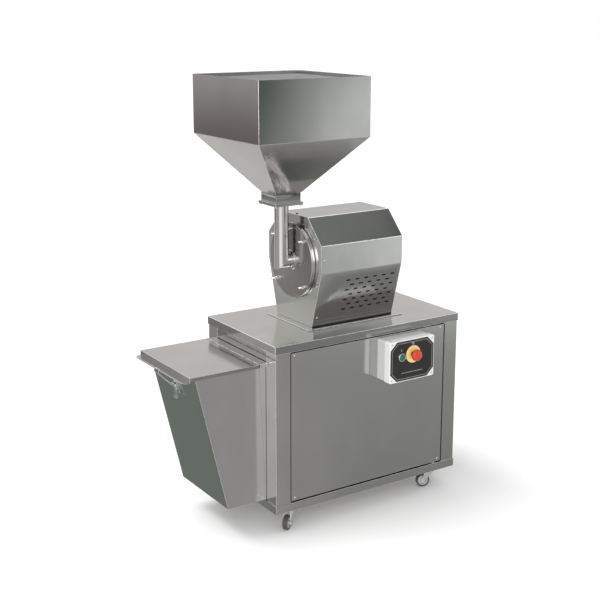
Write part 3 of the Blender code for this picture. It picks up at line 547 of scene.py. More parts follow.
housing_grey = moulded("housing_grey", (0.80, 0.805, 0.795), (0.76, 0.765, 0.76), (0.38, 0.50))
# Painted shade: a darker copy of the housing grey, used for the switch box's body and the lid's screw
# heads.
housing_painted_shade = moulded("housing_painted_shade", (0.62, 0.625, 0.62), (0.57, 0.575, 0.57), (0.42, 0.55))
signal_yellow = moulded("signal_yellow", (0.86, 0.72, 0.25), (0.82, 0.67, 0.20), (0.34, 0.44))
signal_red = moulded("signal_red", (0.60, 0.038, 0.012), (0.50, 0.030, 0.010), (0.22, 0.32),
                     0.05, coat=0.3)
start_green = moulded("start_green", (0.008, 0.125, 0.105), (0.006, 0.10, 0.085), (0.22, 0.32),
                      0.05, coat=0.3)
stem_black = moulded("stem_black", (0.025, 0.025, 0.026), (0.018, 0.018, 0.02), (0.36, 0.48))
label_black = moulded("label_black", (0.017, 0.016, 0.016), (0.013, 0.012, 0.012),
                      (0.30, 0.38), 0.04)
label_white = moulded("label_white", (0.50, 0.50, 0.49), (0.46, 0.46, 0.45), (0.36, 0.46), 0.04)
tread_rubber = moulded("tread_rubber", (0.085, 0.078, 0.076), (0.055, 0.050, 0.048), (0.55, 0.72),
                       0.5)
# Painted shade: the black of the strips that stand in for the shadow in the gaps beside the panels and
# under the guard.
painted_shade_black = moulded("painted_shade_black", (0.012, 0.012, 0.012), (0.009, 0.009, 0.009), (0.70, 0.85), 0.3)
motor_coat = moulded("motor_coat", (0.05, 0.06, 0.07), (0.035, 0.045, 0.05), (0.35, 0.48), 0.15)
print("moulded finishes ready")

# %% [markdown]
# ## Give the plain nodes their finish
#
# The record names a material slot for every node. Each slot is matched here with its
# finish, so that even the parts inside the guard are finished.

# %% Finish by slot
FINISHES = {
    "brushed_sheet": satin_sheet,
    "casing_plate": casing_steel,
    "polished_pipe": tube_steel,
    "bright_fittings": fitting_steel,
    "hinge_pin": fitting_steel,
    "zinc_castor": zinc_plate,
    "grey_rubber": tread_rubber,
    "rotor_steel": rotor_iron,
    "motor_paint": motor_coat,
    "grey_plastic": housing_grey,
    "green_plastic": start_green,
    "yellow_plastic": signal_yellow,
    "red_plastic": signal_red,
    "black_plastic": stem_black,
}
for entry in frame["record"]["subparts"]:
    node = frame["nodes"][entry["node"]]
    node.data.materials.clear()
    node.data.materials.append(FINISHES[entry["material_slot"]])

# %% [markdown]
# ## Helpers for shapes
#
# `clean_copy` takes a node's triangles back to whole flat faces, because only whole
# faces bevel well. A narrow rim around an opening may fill in wrongly as one face, so
# `badly_filled` finds such faces, and their planes are then left as they were.
# `outward_edges` finds the edges that turn outwards between two faces of a useful
# width. `round_edges` bevels them and marks the new faces as a fold. `place` stores a
# finished shape, with a weighted-normal modifier that keeps the large faces flat beside
# their rounded folds.

# %% Clean copies and rounded folds
FLAT = radians(0.5)
HOLLOW = ("hopper", "bin")


def welded_copy(node):
    """A node's mesh with its doubled points joined."""
    shape = bmesh.new()
    shape.from_mesh(frame["nodes"][node].data)
    bmesh.ops.remove_doubles(shape, verts=shape.verts, dist=1e-5)
    shape.normal_update()
    return shape


def badly_filled(shape):
    """Flat faces, such as a narrow rim around an opening, that fill in the wrong area."""
    filled = {}
    for loops in shape.calc_loop_triangles():
        a, b, c = (loop.vert.co for loop in loops)
        filled[loops[0].face] = filled.get(loops[0].face, 0.0) + (b - a).cross(c - a).length / 2
    return [face for face, area in filled.items() if abs(area - face.calc_area()) > 1e-6]


def in_planes(face, planes):
    """Whether a face lies in one of the (normal, distance) planes."""
    spot = face.calc_center_median()
    return any(abs(face.normal.dot(normal)) > 0.999 and abs(spot.dot(normal) - far) < 1e-4
               for normal, far in planes)


def clean_copy(node, planes=()):
    """A node's mesh as whole flat faces, except in the planes to be left as they are."""
    shape = welded_copy(node)
    kept = {e for e in shape.edges if all(in_planes(f, planes) for f in e.link_faces)}
    edges = [e for e in shape.edges if e not in kept]
    verts = [v for v in shape.verts if not any(e in kept for e in v.link_edges)]
    bmesh.ops.dissolve_limit(shape, angle_limit=FLAT, verts=verts, edges=edges)
    shape.faces.layers.float.new("fold")
    return shape


def reach(face, edge):
    """How far a face spreads from one of its edges."""
    start = edge.verts[0].co
    along = (edge.verts[1].co - start).normalized()
    return max((v.co - start - along * (v.co - start).dot(along)).length for v in face.verts)


def outward_edges(shape, width, turn=radians(20)):
    """Edges that turn outwards, with a face wider than width on both sides."""
    return [edge for edge in shape.edges
            if edge.is_manifold and edge.is_convex and edge.calc_face_angle() > turn
            and all(reach(face, edge) > width for face in edge.link_faces)]


def round_edges(shape, edges, radius, segments=3):
    """Bevel edges and mark what the bevel makes as a fold."""
    fold = shape.faces.layers.float.get("fold") or shape.faces.layers.float.new("fold")
    made = bmesh.ops.bevel(shape, geom=edges, offset=radius, offset_type="OFFSET",
                           affect="EDGES", segments=segments, profile=0.5, material=-1,
                           clamp_overlap=True)
    for face in made["faces"]:
        face[fold] = 1.0


def place(name, shape, body, slot, *nodes, look=None, sharp=40, flat_faces=True):
    """Store a shape as a piece that rides on a body and may stand for frame nodes."""
    mesh = bpy.data.meshes.new(name)
    shape.normal_update()
    shape.to_mesh(mesh)
    shape.free()
    mesh.materials.append(look or FINISHES[slot])
    mesh.shade_smooth()
    mesh.set_sharp_from_angle(angle=radians(sharp))
    made = bpy.data.objects.new(name, mesh)
    bpy.context.collection.objects.link(made)
    if flat_faces:
        weigh = made.modifiers.new("flat faces", "WEIGHTED_NORMAL")
        weigh.mode = "FACE_AREA"
        weigh.weight = 100
        weigh.keep_sharp = True
    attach(made, body)
    if nodes:
        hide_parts(*nodes)
    return made


print("shape helpers ready")

# %% [markdown]
# ### Turned shapes, beads and blocks
#
# Covers, knobs, wheels and studs are turned on a lathe, so they are made by spinning a
# line of (along, radius) points about an axis. A bead is a round line along a route. It
# serves for weld beads and for bent wire. A block is a plain box for strips.

# %% Turned shapes
AXES = {"x": (0, 1, 2), "y": (1, 2, 0), "z": (2, 0, 1)}


def filleted(points, radius, steps=3):
    """Round the inner corners of an open line of (along, radius) points."""
    line = [Vector(point) for point in points]
    made = [line[0]]
    for before, corner, after in zip(line, line[1:], line[2:]):
        first, second = (before - corner), (after - corner)
        cut = min(radius, first.length * 0.45, second.length * 0.45)
        start, end = corner + first.normalized() * cut, corner + second.normalized() * cut
        for step in range(steps + 1):
            share = step / steps
            made.append((1 - share) ** 2 * start + 2 * share * (1 - share) * corner
                        + share ** 2 * end)
    return made + [line[-1]]


def turn(shape, points, axis, centre, steps=48):
    """Spin a line of (along, radius) points about an axis through centre."""
    along, across, _ = AXES[axis]
    ring = []
    for distance, radius in points:
        spot = Vector(centre)
        spot[along] = distance
        spot[across] += radius
        ring.append(shape.verts.new(spot))
    edges = [shape.edges.new(pair) for pair in zip(ring, ring[1:])]
    direction = Vector((0.0, 0.0, 0.0))
    direction[along] = 1.0
    bmesh.ops.spin(shape, geom=ring + edges, cent=centre, axis=direction, angle=2 * pi,
                   steps=steps, use_merge=True)
    bmesh.ops.remove_doubles(shape, verts=shape.verts, dist=1e-6)
    bmesh.ops.recalc_face_normals(shape, faces=shape.faces)


def turned(points, axis, centre, steps=48, radius=0.0005):
    """A new shape, spun from a line of points with its corners rounded."""
    shape = bmesh.new()
    turn(shape, filleted(points, radius) if radius else points, axis, centre, steps)
    return shape


def block(shape, low, high):
    """Add a box between two corners; gives its vertices."""
    low, high = Vector(low), Vector(high)
    where = Matrix.Translation((low + high) / 2) @ Matrix.Diagonal((*(high - low), 1.0))
    return bmesh.ops.create_cube(shape, size=1.0, matrix=where)["verts"]


def bead(shape, points, radius, sides=8, closed=True):
    """Add a round bead along a line of points, as a weld or a wire."""
    loops = []
    count = len(points)
    for i, point in enumerate(points):
        before = points[i - 1] if closed or i else point
        after = points[(i + 1) % count] if closed or i < count - 1 else point
        ahead = (Vector(after) - Vector(before)).normalized()
        side = ahead.cross(Vector((0.31, 0.17, 0.93))).normalized()
        up = side.cross(ahead)
        loops.append([shape.verts.new(Vector(point) + (side * cos(a) + up * sin(a)) * radius)
                      for a in (2 * pi * j / sides for j in range(sides))])
    for i in range(count if closed else count - 1):
        first, second = loops[i], loops[(i + 1) % count]
        for j in range(sides):
            shape.faces.new((first[j - 1], first[j], second[j], second[j - 1]))
    if not closed:
        shape.faces.new(loops[0])
        shape.faces.new(loops[-1])
    bmesh.ops.recalc_face_normals(shape, faces=shape.faces)


print("turning helpers ready")

# %% [markdown]
# ## Folded sheet
#
# The cabinet, bin, guard and hopper are bent from sheet, and a press brake never leaves
# a knife edge. Each sheet is copied, its outer folds are rounded by a few millimetres,
# and its cut edges are then eased by a few tenths.

# %% Sheets of the cabinet and the bin
SHEETS = {
    "worktop": 0.0026, "base_tray": 0.0028,
    "corner_post_front_left": 0.0024, "corner_post_front_right": 0.0024,
    "corner_post_back_left": 0.0024, "corner_post_back_right": 0.0024,
    "front_panel": 0.0016, "back_panel": 0.0016, "end_panel": 0.0016, "upper_panel": 0.0014,
    "bin_rail_front": 0.0016, "bin_rail_back": 0.0016, "discharge_chute": 0.0014,
    "bin": 0.0024, "bin_top_strip": 0.0018, "bin_lid": 0.0018,
}
FOLD_WIDTH = 0.005
EASED = 0.00025


# Sheets whose upright faces get painted shade: they are marked `across` below.
PAINTED_SHADE_SHEETS = ("worktop", "bin_lid", "upper_panel")


def mark_inside(shape):
    """Mark the faces that look in towards the middle of a hollow, which stay duller."""
    inside = shape.faces.layers.float.new("inside")
    spots = [v.co for v in shape.verts]
    heart = sum(spots, Vector()) / len(spots)
    for face in shape.faces:
        inward = heart - face.calc_center_median()
        inward.z *= 0.5
        face[inside] = 1.0 if face.normal.dot(inward.normalized()) > 0.25 else 0.0


def folded_sheet(node, radius, fold_width, eased, planes=()):
    """A copy of a node with rounded folds and eased cut edges."""
    shape = clean_copy(node, planes)
    if node in HOLLOW:
        mark_inside(shape)
    # Painted shade: upright faces are marked `across`, which the metal recipe darkens.
    if node in PAINTED_SHADE_SHEETS:
        across = shape.faces.layers.float.new("across")
        for face in shape.faces:
            face[across] = 1.0 if abs(face.normal.z) < 0.5 else 0.0
    round_edges(shape, outward_edges(shape, fold_width), radius, 4)
    if eased:
        plain = [e for e in outward_edges(shape, 0.0009, radians(50))
                 if e.calc_length() > 0.004]
        round_edges(shape, plain, eased, 1)
    return shape


def sheet_piece(node, body, radius, slot="brushed_sheet", fold_width=FOLD_WIDTH, eased=EASED):
    """A folded sheet in place of its node, made again where a rim filled in wrongly."""
    planes = []
    for _ in range(3):
        shape = folded_sheet(node, radius, fold_width, eased, planes)
        shape.normal_update()
        wrong = badly_filled(shape)
        if not wrong:
            break
        planes += [(f.normal.copy(), f.verts[0].co.dot(f.normal)) for f in wrong]
        shape.free()
    else:
        shape = folded_sheet(node, radius, fold_width, eased, planes)
    return place(f"{node}_sheet", shape, body, slot, node)


BODY_OF = {node: body for body, nodes in frame["record"]["behaviour"]["bodies"].items()
           for node in nodes}
for node, radius in SHEETS.items():
    made = sheet_piece(node, BODY_OF[node], radius)
    print(made.name, "faces", len(made.data.polygons))

# %% [markdown]
# ### Sheets of the mill
#
# The guard and the hopper are folded from sheet like the cabinet. The base plate, the
# front plate and the pipe's flange are cut from thicker plate, so that they have no
# folds and only their cut edges are eased.

# %% Sheets of the mill
for node, radius in (("motor_guard", 0.0020), ("hopper", 0.0016)):
    made = sheet_piece(node, BODY_OF[node], radius, eased=0.0002)
    print(made.name, "faces", len(made.data.polygons))
for node in ("mill_base_plate", "mill_front_plate", "pipe_flange"):
    shape = clean_copy(node)
    round_edges(shape, outward_edges(shape, 0.0015), 0.0009, 2)
    made = place(f"{node}_eased", shape, BODY_OF[node], "brushed_sheet", node)
    print(made.name, "faces", len(made.data.polygons))

# %% [markdown]
# ### Small fixings
#
# The panels are held by dome-headed screws with a hexagon socket, and the flanges by
# hexagon heads. Each kind of fixing is made once along +Z, then turned and moved to its
# spots. All fixings of one panel are one piece, because they never move apart.

# %% Small fixings
def at(x, y, z):
    """A point given from the middle of the cabinet, as a point of the frame."""
    return middle + Vector((x, y, z))


def facing(direction):
    """A turn that takes +Z to a direction."""
    return Vector(direction).to_track_quat("Z", "Y").to_matrix().to_4x4()


def add(shape, part, where):
    """Add one shape to another, moved by a matrix."""
    part.transform(where)
    spare = bpy.data.meshes.new("spare")
    part.to_mesh(spare)
    part.free()
    shape.from_mesh(spare)
    bpy.data.meshes.remove(spare)


def dome_screw(radius, height, steps=24):
    """A dome head with a hexagon socket, standing on the origin along +Z."""
    part = bmesh.new()
    dome = [(-0.0002, 0.0), (-0.0002, radius), (0.2 * height, radius)]
    dome += [(height * (0.2 + 0.8 * sin(a)), radius * cos(a))
             for a in (radians(v) for v in (15, 30, 45, 58))]
    turn(part, dome, "z", (0.0, 0.0, 0.0), steps)
    top = max(v.co.z for v in part.verts)
    rim = [e for e in part.edges if e.is_boundary and min(v.co.z for v in e.verts) > top - 1e-5]
    socket = bmesh.ops.create_circle(part, segments=6, radius=0.34 * radius,
                                     matrix=Matrix.Translation((0.0, 0.0, top)))["verts"]
    hexagon = [e for e in part.edges if all(v in socket for v in e.verts)]
    bmesh.ops.bridge_loops(part, edges=rim + hexagon)
    pushed = bmesh.ops.extrude_edge_only(part, edges=hexagon)["geom"]
    lower = [item for item in pushed if isinstance(item, bmesh.types.BMVert)]
    bmesh.ops.translate(part, verts=lower, vec=(0.0, 0.0, -0.55 * height))
    bmesh.ops.contextual_create(part, geom=lower)
    bmesh.ops.recalc_face_normals(part, faces=part.faces)
    return part


def hex_nut(across, height, hole=0.0, steps=24):
    """A chamfered hexagon nut or bolt head on the origin along +Z."""
    part = bmesh.new()
    ring = bmesh.ops.create_circle(part, segments=6, radius=across / 2 / cos(pi / 6),
                                   cap_ends=True)["verts"]
    pushed = bmesh.ops.extrude_face_region(part, geom=list(part.faces))["geom"]
    upper = [item for item in pushed if isinstance(item, bmesh.types.BMVert)]
    bmesh.ops.translate(part, verts=upper, vec=(0.0, 0.0, height))
    bmesh.ops.recalc_face_normals(part, faces=part.faces)
    top = [e for e in part.edges if all(v in upper for v in e.verts)]
    round_edges(part, top, 0.12 * across, 2)
    if hole:
        turn(part, [(height - 0.0002, 0.0), (height + hole, 0.0001), (height + hole, hole),
                    (height - 0.0002, hole)], "z", (0.0, 0.0, 0.0), steps)
    return part


def fixings(name, spots, part_maker, body="cabinet", slot="bright_fittings", look=None):
    """One piece holding the same fixing at several (point, direction) spots."""
    shape = bmesh.new()
    for spot, direction in spots:
        add(shape, part_maker(), Matrix.Translation(spot) @ facing(direction))
    made = place(name, shape, body, slot, look=look, flat_faces=False)
    print(name, len(spots))
    return made


FRONT, BACK, END = (0.0, -1.0, 0.0), (0.0, 1.0, 0.0), (1.0, 0.0, 0.0)
panel_face = 0.2195
end_face = 0.3765
heights = (0.118, 0.609)
fixings("front_panel_screws", [(at(x, -panel_face, z), FRONT) for x in (-0.304, 0.304)
                               for z in heights], lambda: dome_screw(0.0046, 0.0028))
fixings("back_panel_screws", [(at(x, panel_face, z), BACK) for x in (-0.304, 0.304)
                              for z in heights], lambda: dome_screw(0.0046, 0.0028))
fixings("end_panel_screws", [(at(end_face, y, z), END) for y in (-0.146, 0.146)
                             for z in heights], lambda: dome_screw(0.0046, 0.0028))

# %% [markdown]
# ## The mill
#
# The round cover is a dished lid with a boss for the feed tube. The tube is a mitred
# elbow with a weld along its mitre and a weld where it meets the cover. Wing nuts on
# studs clamp the cover.

# %% Chamber cover
cover_low, cover_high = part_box("chamber_cover")
boss_x, seat_x = cover_low.x, cover_high.x
centre = Vector((0.0, middle.y, mill_z))
COVER_R, BOSS_R, BORE_R = 0.130, 0.034, 0.02445
face_x = boss_x + 0.005
profile = [(boss_x, BORE_R), (boss_x, BOSS_R), (face_x, BOSS_R), (face_x, COVER_R),
           (seat_x, COVER_R), (seat_x, COVER_R - 0.010), (face_x + 0.003, COVER_R - 0.010),
           (face_x + 0.003, BORE_R), (boss_x, BORE_R)]
outer = filleted(profile[:4] + profile[4:6], 0.0028, 5)
shape = bmesh.new()
turn(shape, outer + profile[6:], "x", centre, 96)
place("chamber_cover_dished", shape, "cabinet", "brushed_sheet", "chamber_cover",
      look=cover_steel, flat_faces=False)
print("cover face", round(face_x, 4), "seat", round(seat_x, 4))

# %% [markdown]
# ### Feed tube with its welds
#
# The tube comes down from the hopper and turns into the cover at a mitre. The cut is a
# slanting ellipse, so every ring of points is written with the same angles and only its
# height follows the slant. The welds are beads along the mitre and the two ends, with a
# small ripple as a weld has.

# %% Feed tube with its welds
PIPE_R, PIPE_WALL = 0.02415, 0.0015
pipe_low, pipe_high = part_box("feed_pipe")
pipe_x = pipe_low.x + PIPE_R
shape = bmesh.new()
SIDES = 72
angles = [2 * pi * i / SIDES for i in range(SIDES)]
loops = []
for radius in (PIPE_R, PIPE_R - PIPE_WALL):
    head = [(pipe_x + radius * cos(a), middle.y + radius * sin(a), pipe_high.z) for a in angles]
    mitre = [(pipe_x + radius * cos(a), middle.y + radius * sin(a), mill_z + radius * cos(a))
             for a in angles]
    tail = [(pipe_high.x, middle.y + radius * sin(a), mill_z + radius * cos(a)) for a in angles]
    loops += [head, mitre, tail] if not loops else [tail, mitre, head]
rings = [[shape.verts.new(point) for point in loop] for loop in loops]
for i, ring in enumerate(rings):
    previous = rings[i - 1]
    for j in range(SIDES):
        shape.faces.new((previous[j - 1], previous[j], ring[j], ring[j - 1]))
bmesh.ops.recalc_face_normals(shape, faces=shape.faces)
place("feed_tube", shape, "cabinet", "polished_pipe", "feed_pipe", flat_faces=False, sharp=25)

shape = bmesh.new()
ripple = [0.0002 * sin(9 * a) for a in angles]
bead(shape, [(pipe_x + (PIPE_R + r) * cos(a), middle.y + (PIPE_R + r) * sin(a),
              mill_z + (PIPE_R + r) * cos(a)) for a, r in zip(angles, ripple)], 0.0011)
bead(shape, [(boss_x, middle.y + (PIPE_R + 0.0004 + r) * sin(a),
              mill_z + (PIPE_R + 0.0004 + r) * cos(a)) for a, r in zip(angles, ripple)], 0.0013)
flange_low, flange_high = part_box("pipe_flange")
bead(shape, [(pipe_x + (PIPE_R + 0.0004 + r) * cos(a), middle.y + (PIPE_R + 0.0004 + r) * sin(a),
              flange_low.z) for a, r in zip(angles, ripple)], 0.0012)
place("tube_welds", shape, "cabinet", "bright_fittings", look=weld_steel, flat_faces=False)
print("tube axis x", round(pipe_x, 4), "welds", 3)

# %% [markdown]
# ### Wing nuts
#
# Each wing nut stands on a threaded stud with a washer, and its two wings are flat
# shapes with rounded edges. The four that turn replace the plain knobs of the solids.
# The fifth one, above the middle, is fixed and has no solid of its own.

# %% Wing nuts
def wing_nut(y, z):
    """A stud with a washer and a wing nut on the cover, pointing away from the mill."""
    shape = bmesh.new()
    spot = (0.0, y, z)
    start = face_x - 0.0003
    turn(shape, filleted([(start, 0.0), (start, 0.0068), (start - 0.0012, 0.0068),
                          (start - 0.0012, 0.0)], 0.0004), "x", spot, 24)
    turn(shape, filleted([(start - 0.0012, 0.0), (start - 0.0012, 0.0058),
                          (start - 0.012, 0.0044), (start - 0.012, 0.0)], 0.0009), "x", spot, 24)
    threads = [(start - 0.011, 0.0)]
    for i in range(11):
        threads += [(start - 0.0120 - 0.0011 * i, 0.0030), (start - 0.01255 - 0.0011 * i, 0.0026)]
    turn(shape, threads + [(start - 0.0240, 0.0024), (start - 0.0240, 0.0)], "x", spot, 20)
    for side in (-1, 1):
        outline = [(0.0030, -0.0045), (0.0045, -0.0020), (0.0105, -0.0075), (0.0140, -0.0082),
                   (0.0158, -0.0105), (0.0152, -0.0145), (0.0122, -0.0165), (0.0085, -0.0150),
                   (0.0040, -0.0105)]
        ring = [shape.verts.new((start + x, y + side * across, z - 0.0013))
                for across, x in outline]
        face = shape.faces.new(ring)
        pushed = bmesh.ops.extrude_face_region(shape, geom=[face])["geom"]
        upper = [item for item in pushed if isinstance(item, bmesh.types.BMVert)]
        bmesh.ops.translate(shape, verts=upper, vec=(0.0, 0.0, 0.0026))
        wing = {e for v in ring + upper for e in v.link_edges}
        bmesh.ops.recalc_face_normals(shape, faces=list({f for e in wing for f in e.link_faces}))
        round_edges(shape, [e for e in wing if e.calc_face_angle(0.0) > radians(60)], 0.0008, 2)
    return shape


for number in range(1, 5):
    low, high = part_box(f"cover_knob_{number}")
    spot = (low + high) / 2
    place(f"wing_nut_{number}", wing_nut(spot.y, spot.z), f"cover_knob_{number}",
          "bright_fittings", f"cover_knob_{number}", flat_faces=False)
place("wing_nut_top", wing_nut(middle.y, mill_z + 0.1085), "cabinet", "bright_fittings",
      flat_faces=False)
print("wing nuts", 5)

# %% [markdown]
# ### Guard screws
#
# The guard is held to its frame by two screws on each side, and one dark screw stands on
# its top near the front plate. The guard's lower side leans in, so the screws there are
# turned to face the same way as the sheet.

# %% Guard screws
def guard_side(z):
    """How far the guard's side stands from the middle plane at a height."""
    return 0.1088 + 0.2802 * (z - 0.6567) - 0.0015 if z < 0.848 else 0.1609


def guard_direction(z, side):
    """Which way the guard's side faces at a height."""
    return (0.0, side * 0.963, -0.270) if z < 0.848 else (0.0, side, 0.0)


SCREW_X = -0.149
spots = [(at(SCREW_X, side * guard_side(z), z), guard_direction(z, side))
         for side in (-1, 1) for z in (0.892, 0.687)]
fixings("guard_screws", spots, lambda: dome_screw(0.0040, 0.0024))
guard_low, guard_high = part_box("motor_guard")
fixings("guard_top_screw", [(at(SCREW_X, 0.006, 0.0) + Vector((0.0, 0.0, guard_high.z)),
                             (0.0, 0.0, 1.0))], lambda: dome_screw(0.0042, 0.0024),
        look=stem_black)

# %% [markdown]
# ### Painted shade under the guard
#
# A black strip fills the gap between the guard and the base plate as painted shade for
# the shadow in that gap. A thin steel hem hangs from the guard in front of it, so that
# only a narrow dark line is left to see.

# %% Painted shade strip under the guard
base_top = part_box("mill_base_plate")[1].z
SHADE_STRIP_OUT, SHADE_STRIP_T = 0.1079, 0.0016
shade_strip_z = (base_top + 0.0001, guard_low.z - 0.0001)
# Painted shade: black strips along the guard's foot stand in for the shadow in the gap.
gap_shade = bmesh.new()
for side in (-1, 1):
    ys = sorted((side * SHADE_STRIP_OUT, side * (SHADE_STRIP_OUT - SHADE_STRIP_T)))
    block(gap_shade, (guard_low.x + 0.0005, middle.y + ys[0], shade_strip_z[0]),
          (guard_high.x - 0.0005, middle.y + ys[1], shade_strip_z[1]))
block(gap_shade, (guard_high.x - 0.0005 - SHADE_STRIP_T, middle.y - SHADE_STRIP_OUT + 2 * SHADE_STRIP_T, shade_strip_z[0]),
      (guard_high.x - 0.0005, middle.y + SHADE_STRIP_OUT - 2 * SHADE_STRIP_T, shade_strip_z[1]))
round_edges(gap_shade, list(gap_shade.edges), 0.0003, 2)
place("guard_gap_shade", gap_shade, "cabinet", "black_plastic", look=painted_shade_black)
HEM_DROP, HEM_T, HEM_LEAN = 0.0042, 0.0010, 0.0012
hem = bmesh.new()
for side in (-1, 1):
    ys = sorted((side * (SHADE_STRIP_OUT + 0.0002), side * (SHADE_STRIP_OUT + 0.0002 + HEM_T)))
    verts = block(hem, (guard_low.x + 0.0005, middle.y + ys[0], guard_low.z - HEM_DROP),
                  (guard_high.x - 0.0005, middle.y + ys[1], guard_low.z + 0.0003))
    upper = [v for v in verts if v.co.z > guard_low.z]
    bmesh.ops.translate(hem, verts=upper, vec=(0.0, side * HEM_LEAN, 0.0))
round_edges(hem, list(hem.edges), 0.0002, 2)
place("guard_hem", hem, "cabinet", "brushed_sheet")
print("shade strip height", round(shade_strip_z[1] - shade_strip_z[0], 4))

# %% [markdown]
# ### Painted shade beside the panels
#
# The front and back panels lie between two posts, and a black strip in the joint on each
# side is painted shade for the shadow in that gap. The strip stands a hair proud of the
# post, so that it reads as a dark line.

# %% Painted shade strips beside the front and back panels
panel_low, panel_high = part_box("front_panel")
STRIP_W, STRIP_PROUD = 0.0036, 0.0004
for name, side, face_y in (("front_panel_shade_strips", -1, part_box("corner_post_front_left")[0].y),
                           ("back_panel_shade_strips", 1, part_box("corner_post_back_left")[1].y)):
    shade_strips = bmesh.new()
    for edge_x, way in ((panel_low.x, -1), (panel_high.x, 1)):
        xs = sorted((edge_x + way * 0.0001, edge_x + way * (0.0001 + STRIP_W)))
        ys = sorted((face_y + side * STRIP_PROUD, face_y - side * 0.0001))
        block(shade_strips, (xs[0], ys[0], panel_low.z), (xs[1], ys[1], panel_high.z))
    round_edges(shade_strips, list(shade_strips.edges), 0.0001, 1)
    place(name, shade_strips, "cabinet", "black_plastic", look=painted_shade_black)
print("panel shade strips made")

# %% [markdown]
# ### Hopper rim and neck weld
#
# The hopper's top edge is turned in and down, which makes the rim safe to touch and
# stiff. It is a ring with a small square section. A weld runs around the neck where it
# meets the pipe's flange, and four bolts hold the flange from below.

# %% Hopper rim and neck weld
hopper_low, hopper_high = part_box("hopper")
hopper_mid = (hopper_low + hopper_high) / 2
half = (hopper_high.x - hopper_low.x) / 2
wall, hem, drop = 0.0019, 0.0012, 0.012
shape = bmesh.new()
levels = ((half - wall, hopper_high.z - 0.0006), (half - wall - hem, hopper_high.z - 0.0006),
          (half - wall - hem, hopper_high.z - drop), (half - wall, hopper_high.z - drop))
rings = [[shape.verts.new((hopper_mid.x + sx * h, hopper_mid.y + sy * h, z))
          for sx, sy in ((-1, -1), (1, -1), (1, 1), (-1, 1))] for h, z in levels]
for i, ring in enumerate(rings):
    for j in range(4):
        shape.faces.new((rings[i - 1][j - 1], rings[i - 1][j], ring[j], ring[j - 1]))
bmesh.ops.recalc_face_normals(shape, faces=shape.faces)
round_edges(shape, outward_edges(shape, 0.0005, radians(60)), 0.0004, 2)
place("hopper_hem", shape, "cabinet", "brushed_sheet")

shape = bmesh.new()
neck = 0.0475 + 0.0003
path = []
for sx, sy in ((-1, -1), (1, -1), (1, 1), (-1, 1)):
    for a in (0, 30, 60, 90):
        spin_by = radians({(-1, -1): 180, (1, -1): 270, (1, 1): 0, (-1, 1): 90}[(sx, sy)] + a)
        path.append((hopper_mid.x + sx * (neck - 0.001) + 0.001 * cos(spin_by),
                     hopper_mid.y + sy * (neck - 0.001) + 0.001 * sin(spin_by), hopper_low.z))
bead(shape, path, 0.0010, 6)
place("neck_weld", shape, "cabinet", "bright_fittings", look=weld_steel, flat_faces=False)
flange_mid = (flange_low + flange_high) / 2
fixings("flange_bolts", [(Vector((flange_mid.x + sx * 0.0455 * 1.06, flange_mid.y + sy * 0.0455 * 1.06,
                                  flange_low.z)), (0.0, 0.0, -1.0))
                         for sx in (-1, 1) for sy in (-1, 1)], lambda: hex_nut(0.0065, 0.0030))

# %% [markdown]
# ## Bin hinge and latch
#
# The lid turns on a long pin. Short rolled barrels go round the pin, three on the bin
# and two on the lid, each riding with its own part. The toggle latch keeps its shapes
# and gets eased edges, rivets and a wire bail drawn as a round bead.

# %% Hinge barrels
pin_low, pin_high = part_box("lid_hinge_pin")
pin_mid = (pin_low + pin_high) / 2
place("hinge_pin_round", turned([(pin_low.y, 0.0), (pin_low.y, 0.0015), (pin_high.y, 0.0015),
                                 (pin_high.y, 0.0)], "y", pin_mid, 24, 0.0004), "bin",
      "hinge_pin", "lid_hinge_pin", flat_faces=False)
for name, body, offsets in (("bin_hinge_barrels", "bin", (-0.150, 0.0, 0.150)),
                            ("lid_hinge_barrels", "bin_lid", (-0.104, 0.104))):
    shape = bmesh.new()
    for offset in offsets:
        start = middle.y + offset - 0.022
        turn(shape, filleted([(start, 0.00155), (start, 0.0020), (start + 0.044, 0.0020),
                              (start + 0.044, 0.00155)], 0.0003, 2), "y", pin_mid, 28)
    place(name, shape, body, "brushed_sheet", flat_faces=False)
    print(name, len(offsets))

# %% [markdown]
# ### Toggle latch
#
# The latch is a pressed base with a lever and a wire bail. The base is riveted to the
# bin's front. The bail is one bent wire: half of its route is written out, from the
# lever's pivot up to the hook, and the other half is its mirror image.

# %% Toggle latch
for node in ("latch_base", "latch_lever"):
    shape = clean_copy(node)
    round_edges(shape, outward_edges(shape, 0.0012, radians(25)), 0.0004, 2)
    place(f"{node}_eased", shape, BODY_OF[node], "bright_fittings", node)
slope = Vector((-0.2398, 0.0, 1.0)).normalized()
out = Vector((-slope.z, 0.0, slope.x))
latch_root = at(-0.523 - 0.2398 * (0.510 - 0.1075), 0.0, 0.510)
fixings("latch_rivets", [(latch_root + slope * up + out * 0.0018 + Vector((0.0, y, 0.0)), out)
                         for up in (-0.025, 0.0115) for y in (-0.0085, 0.0085)],
        lambda: dome_screw(0.0022, 0.0012, 16), "bin")
fixings("latch_pin_heads", [(latch_root + slope * 0.0 + out * 0.008 + Vector((0, side * 0.013, 0)),
                             (0.0, side, 0.0)) for side in (-1, 1)],
        lambda: dome_screw(0.0026, 0.0013, 16), "bin")

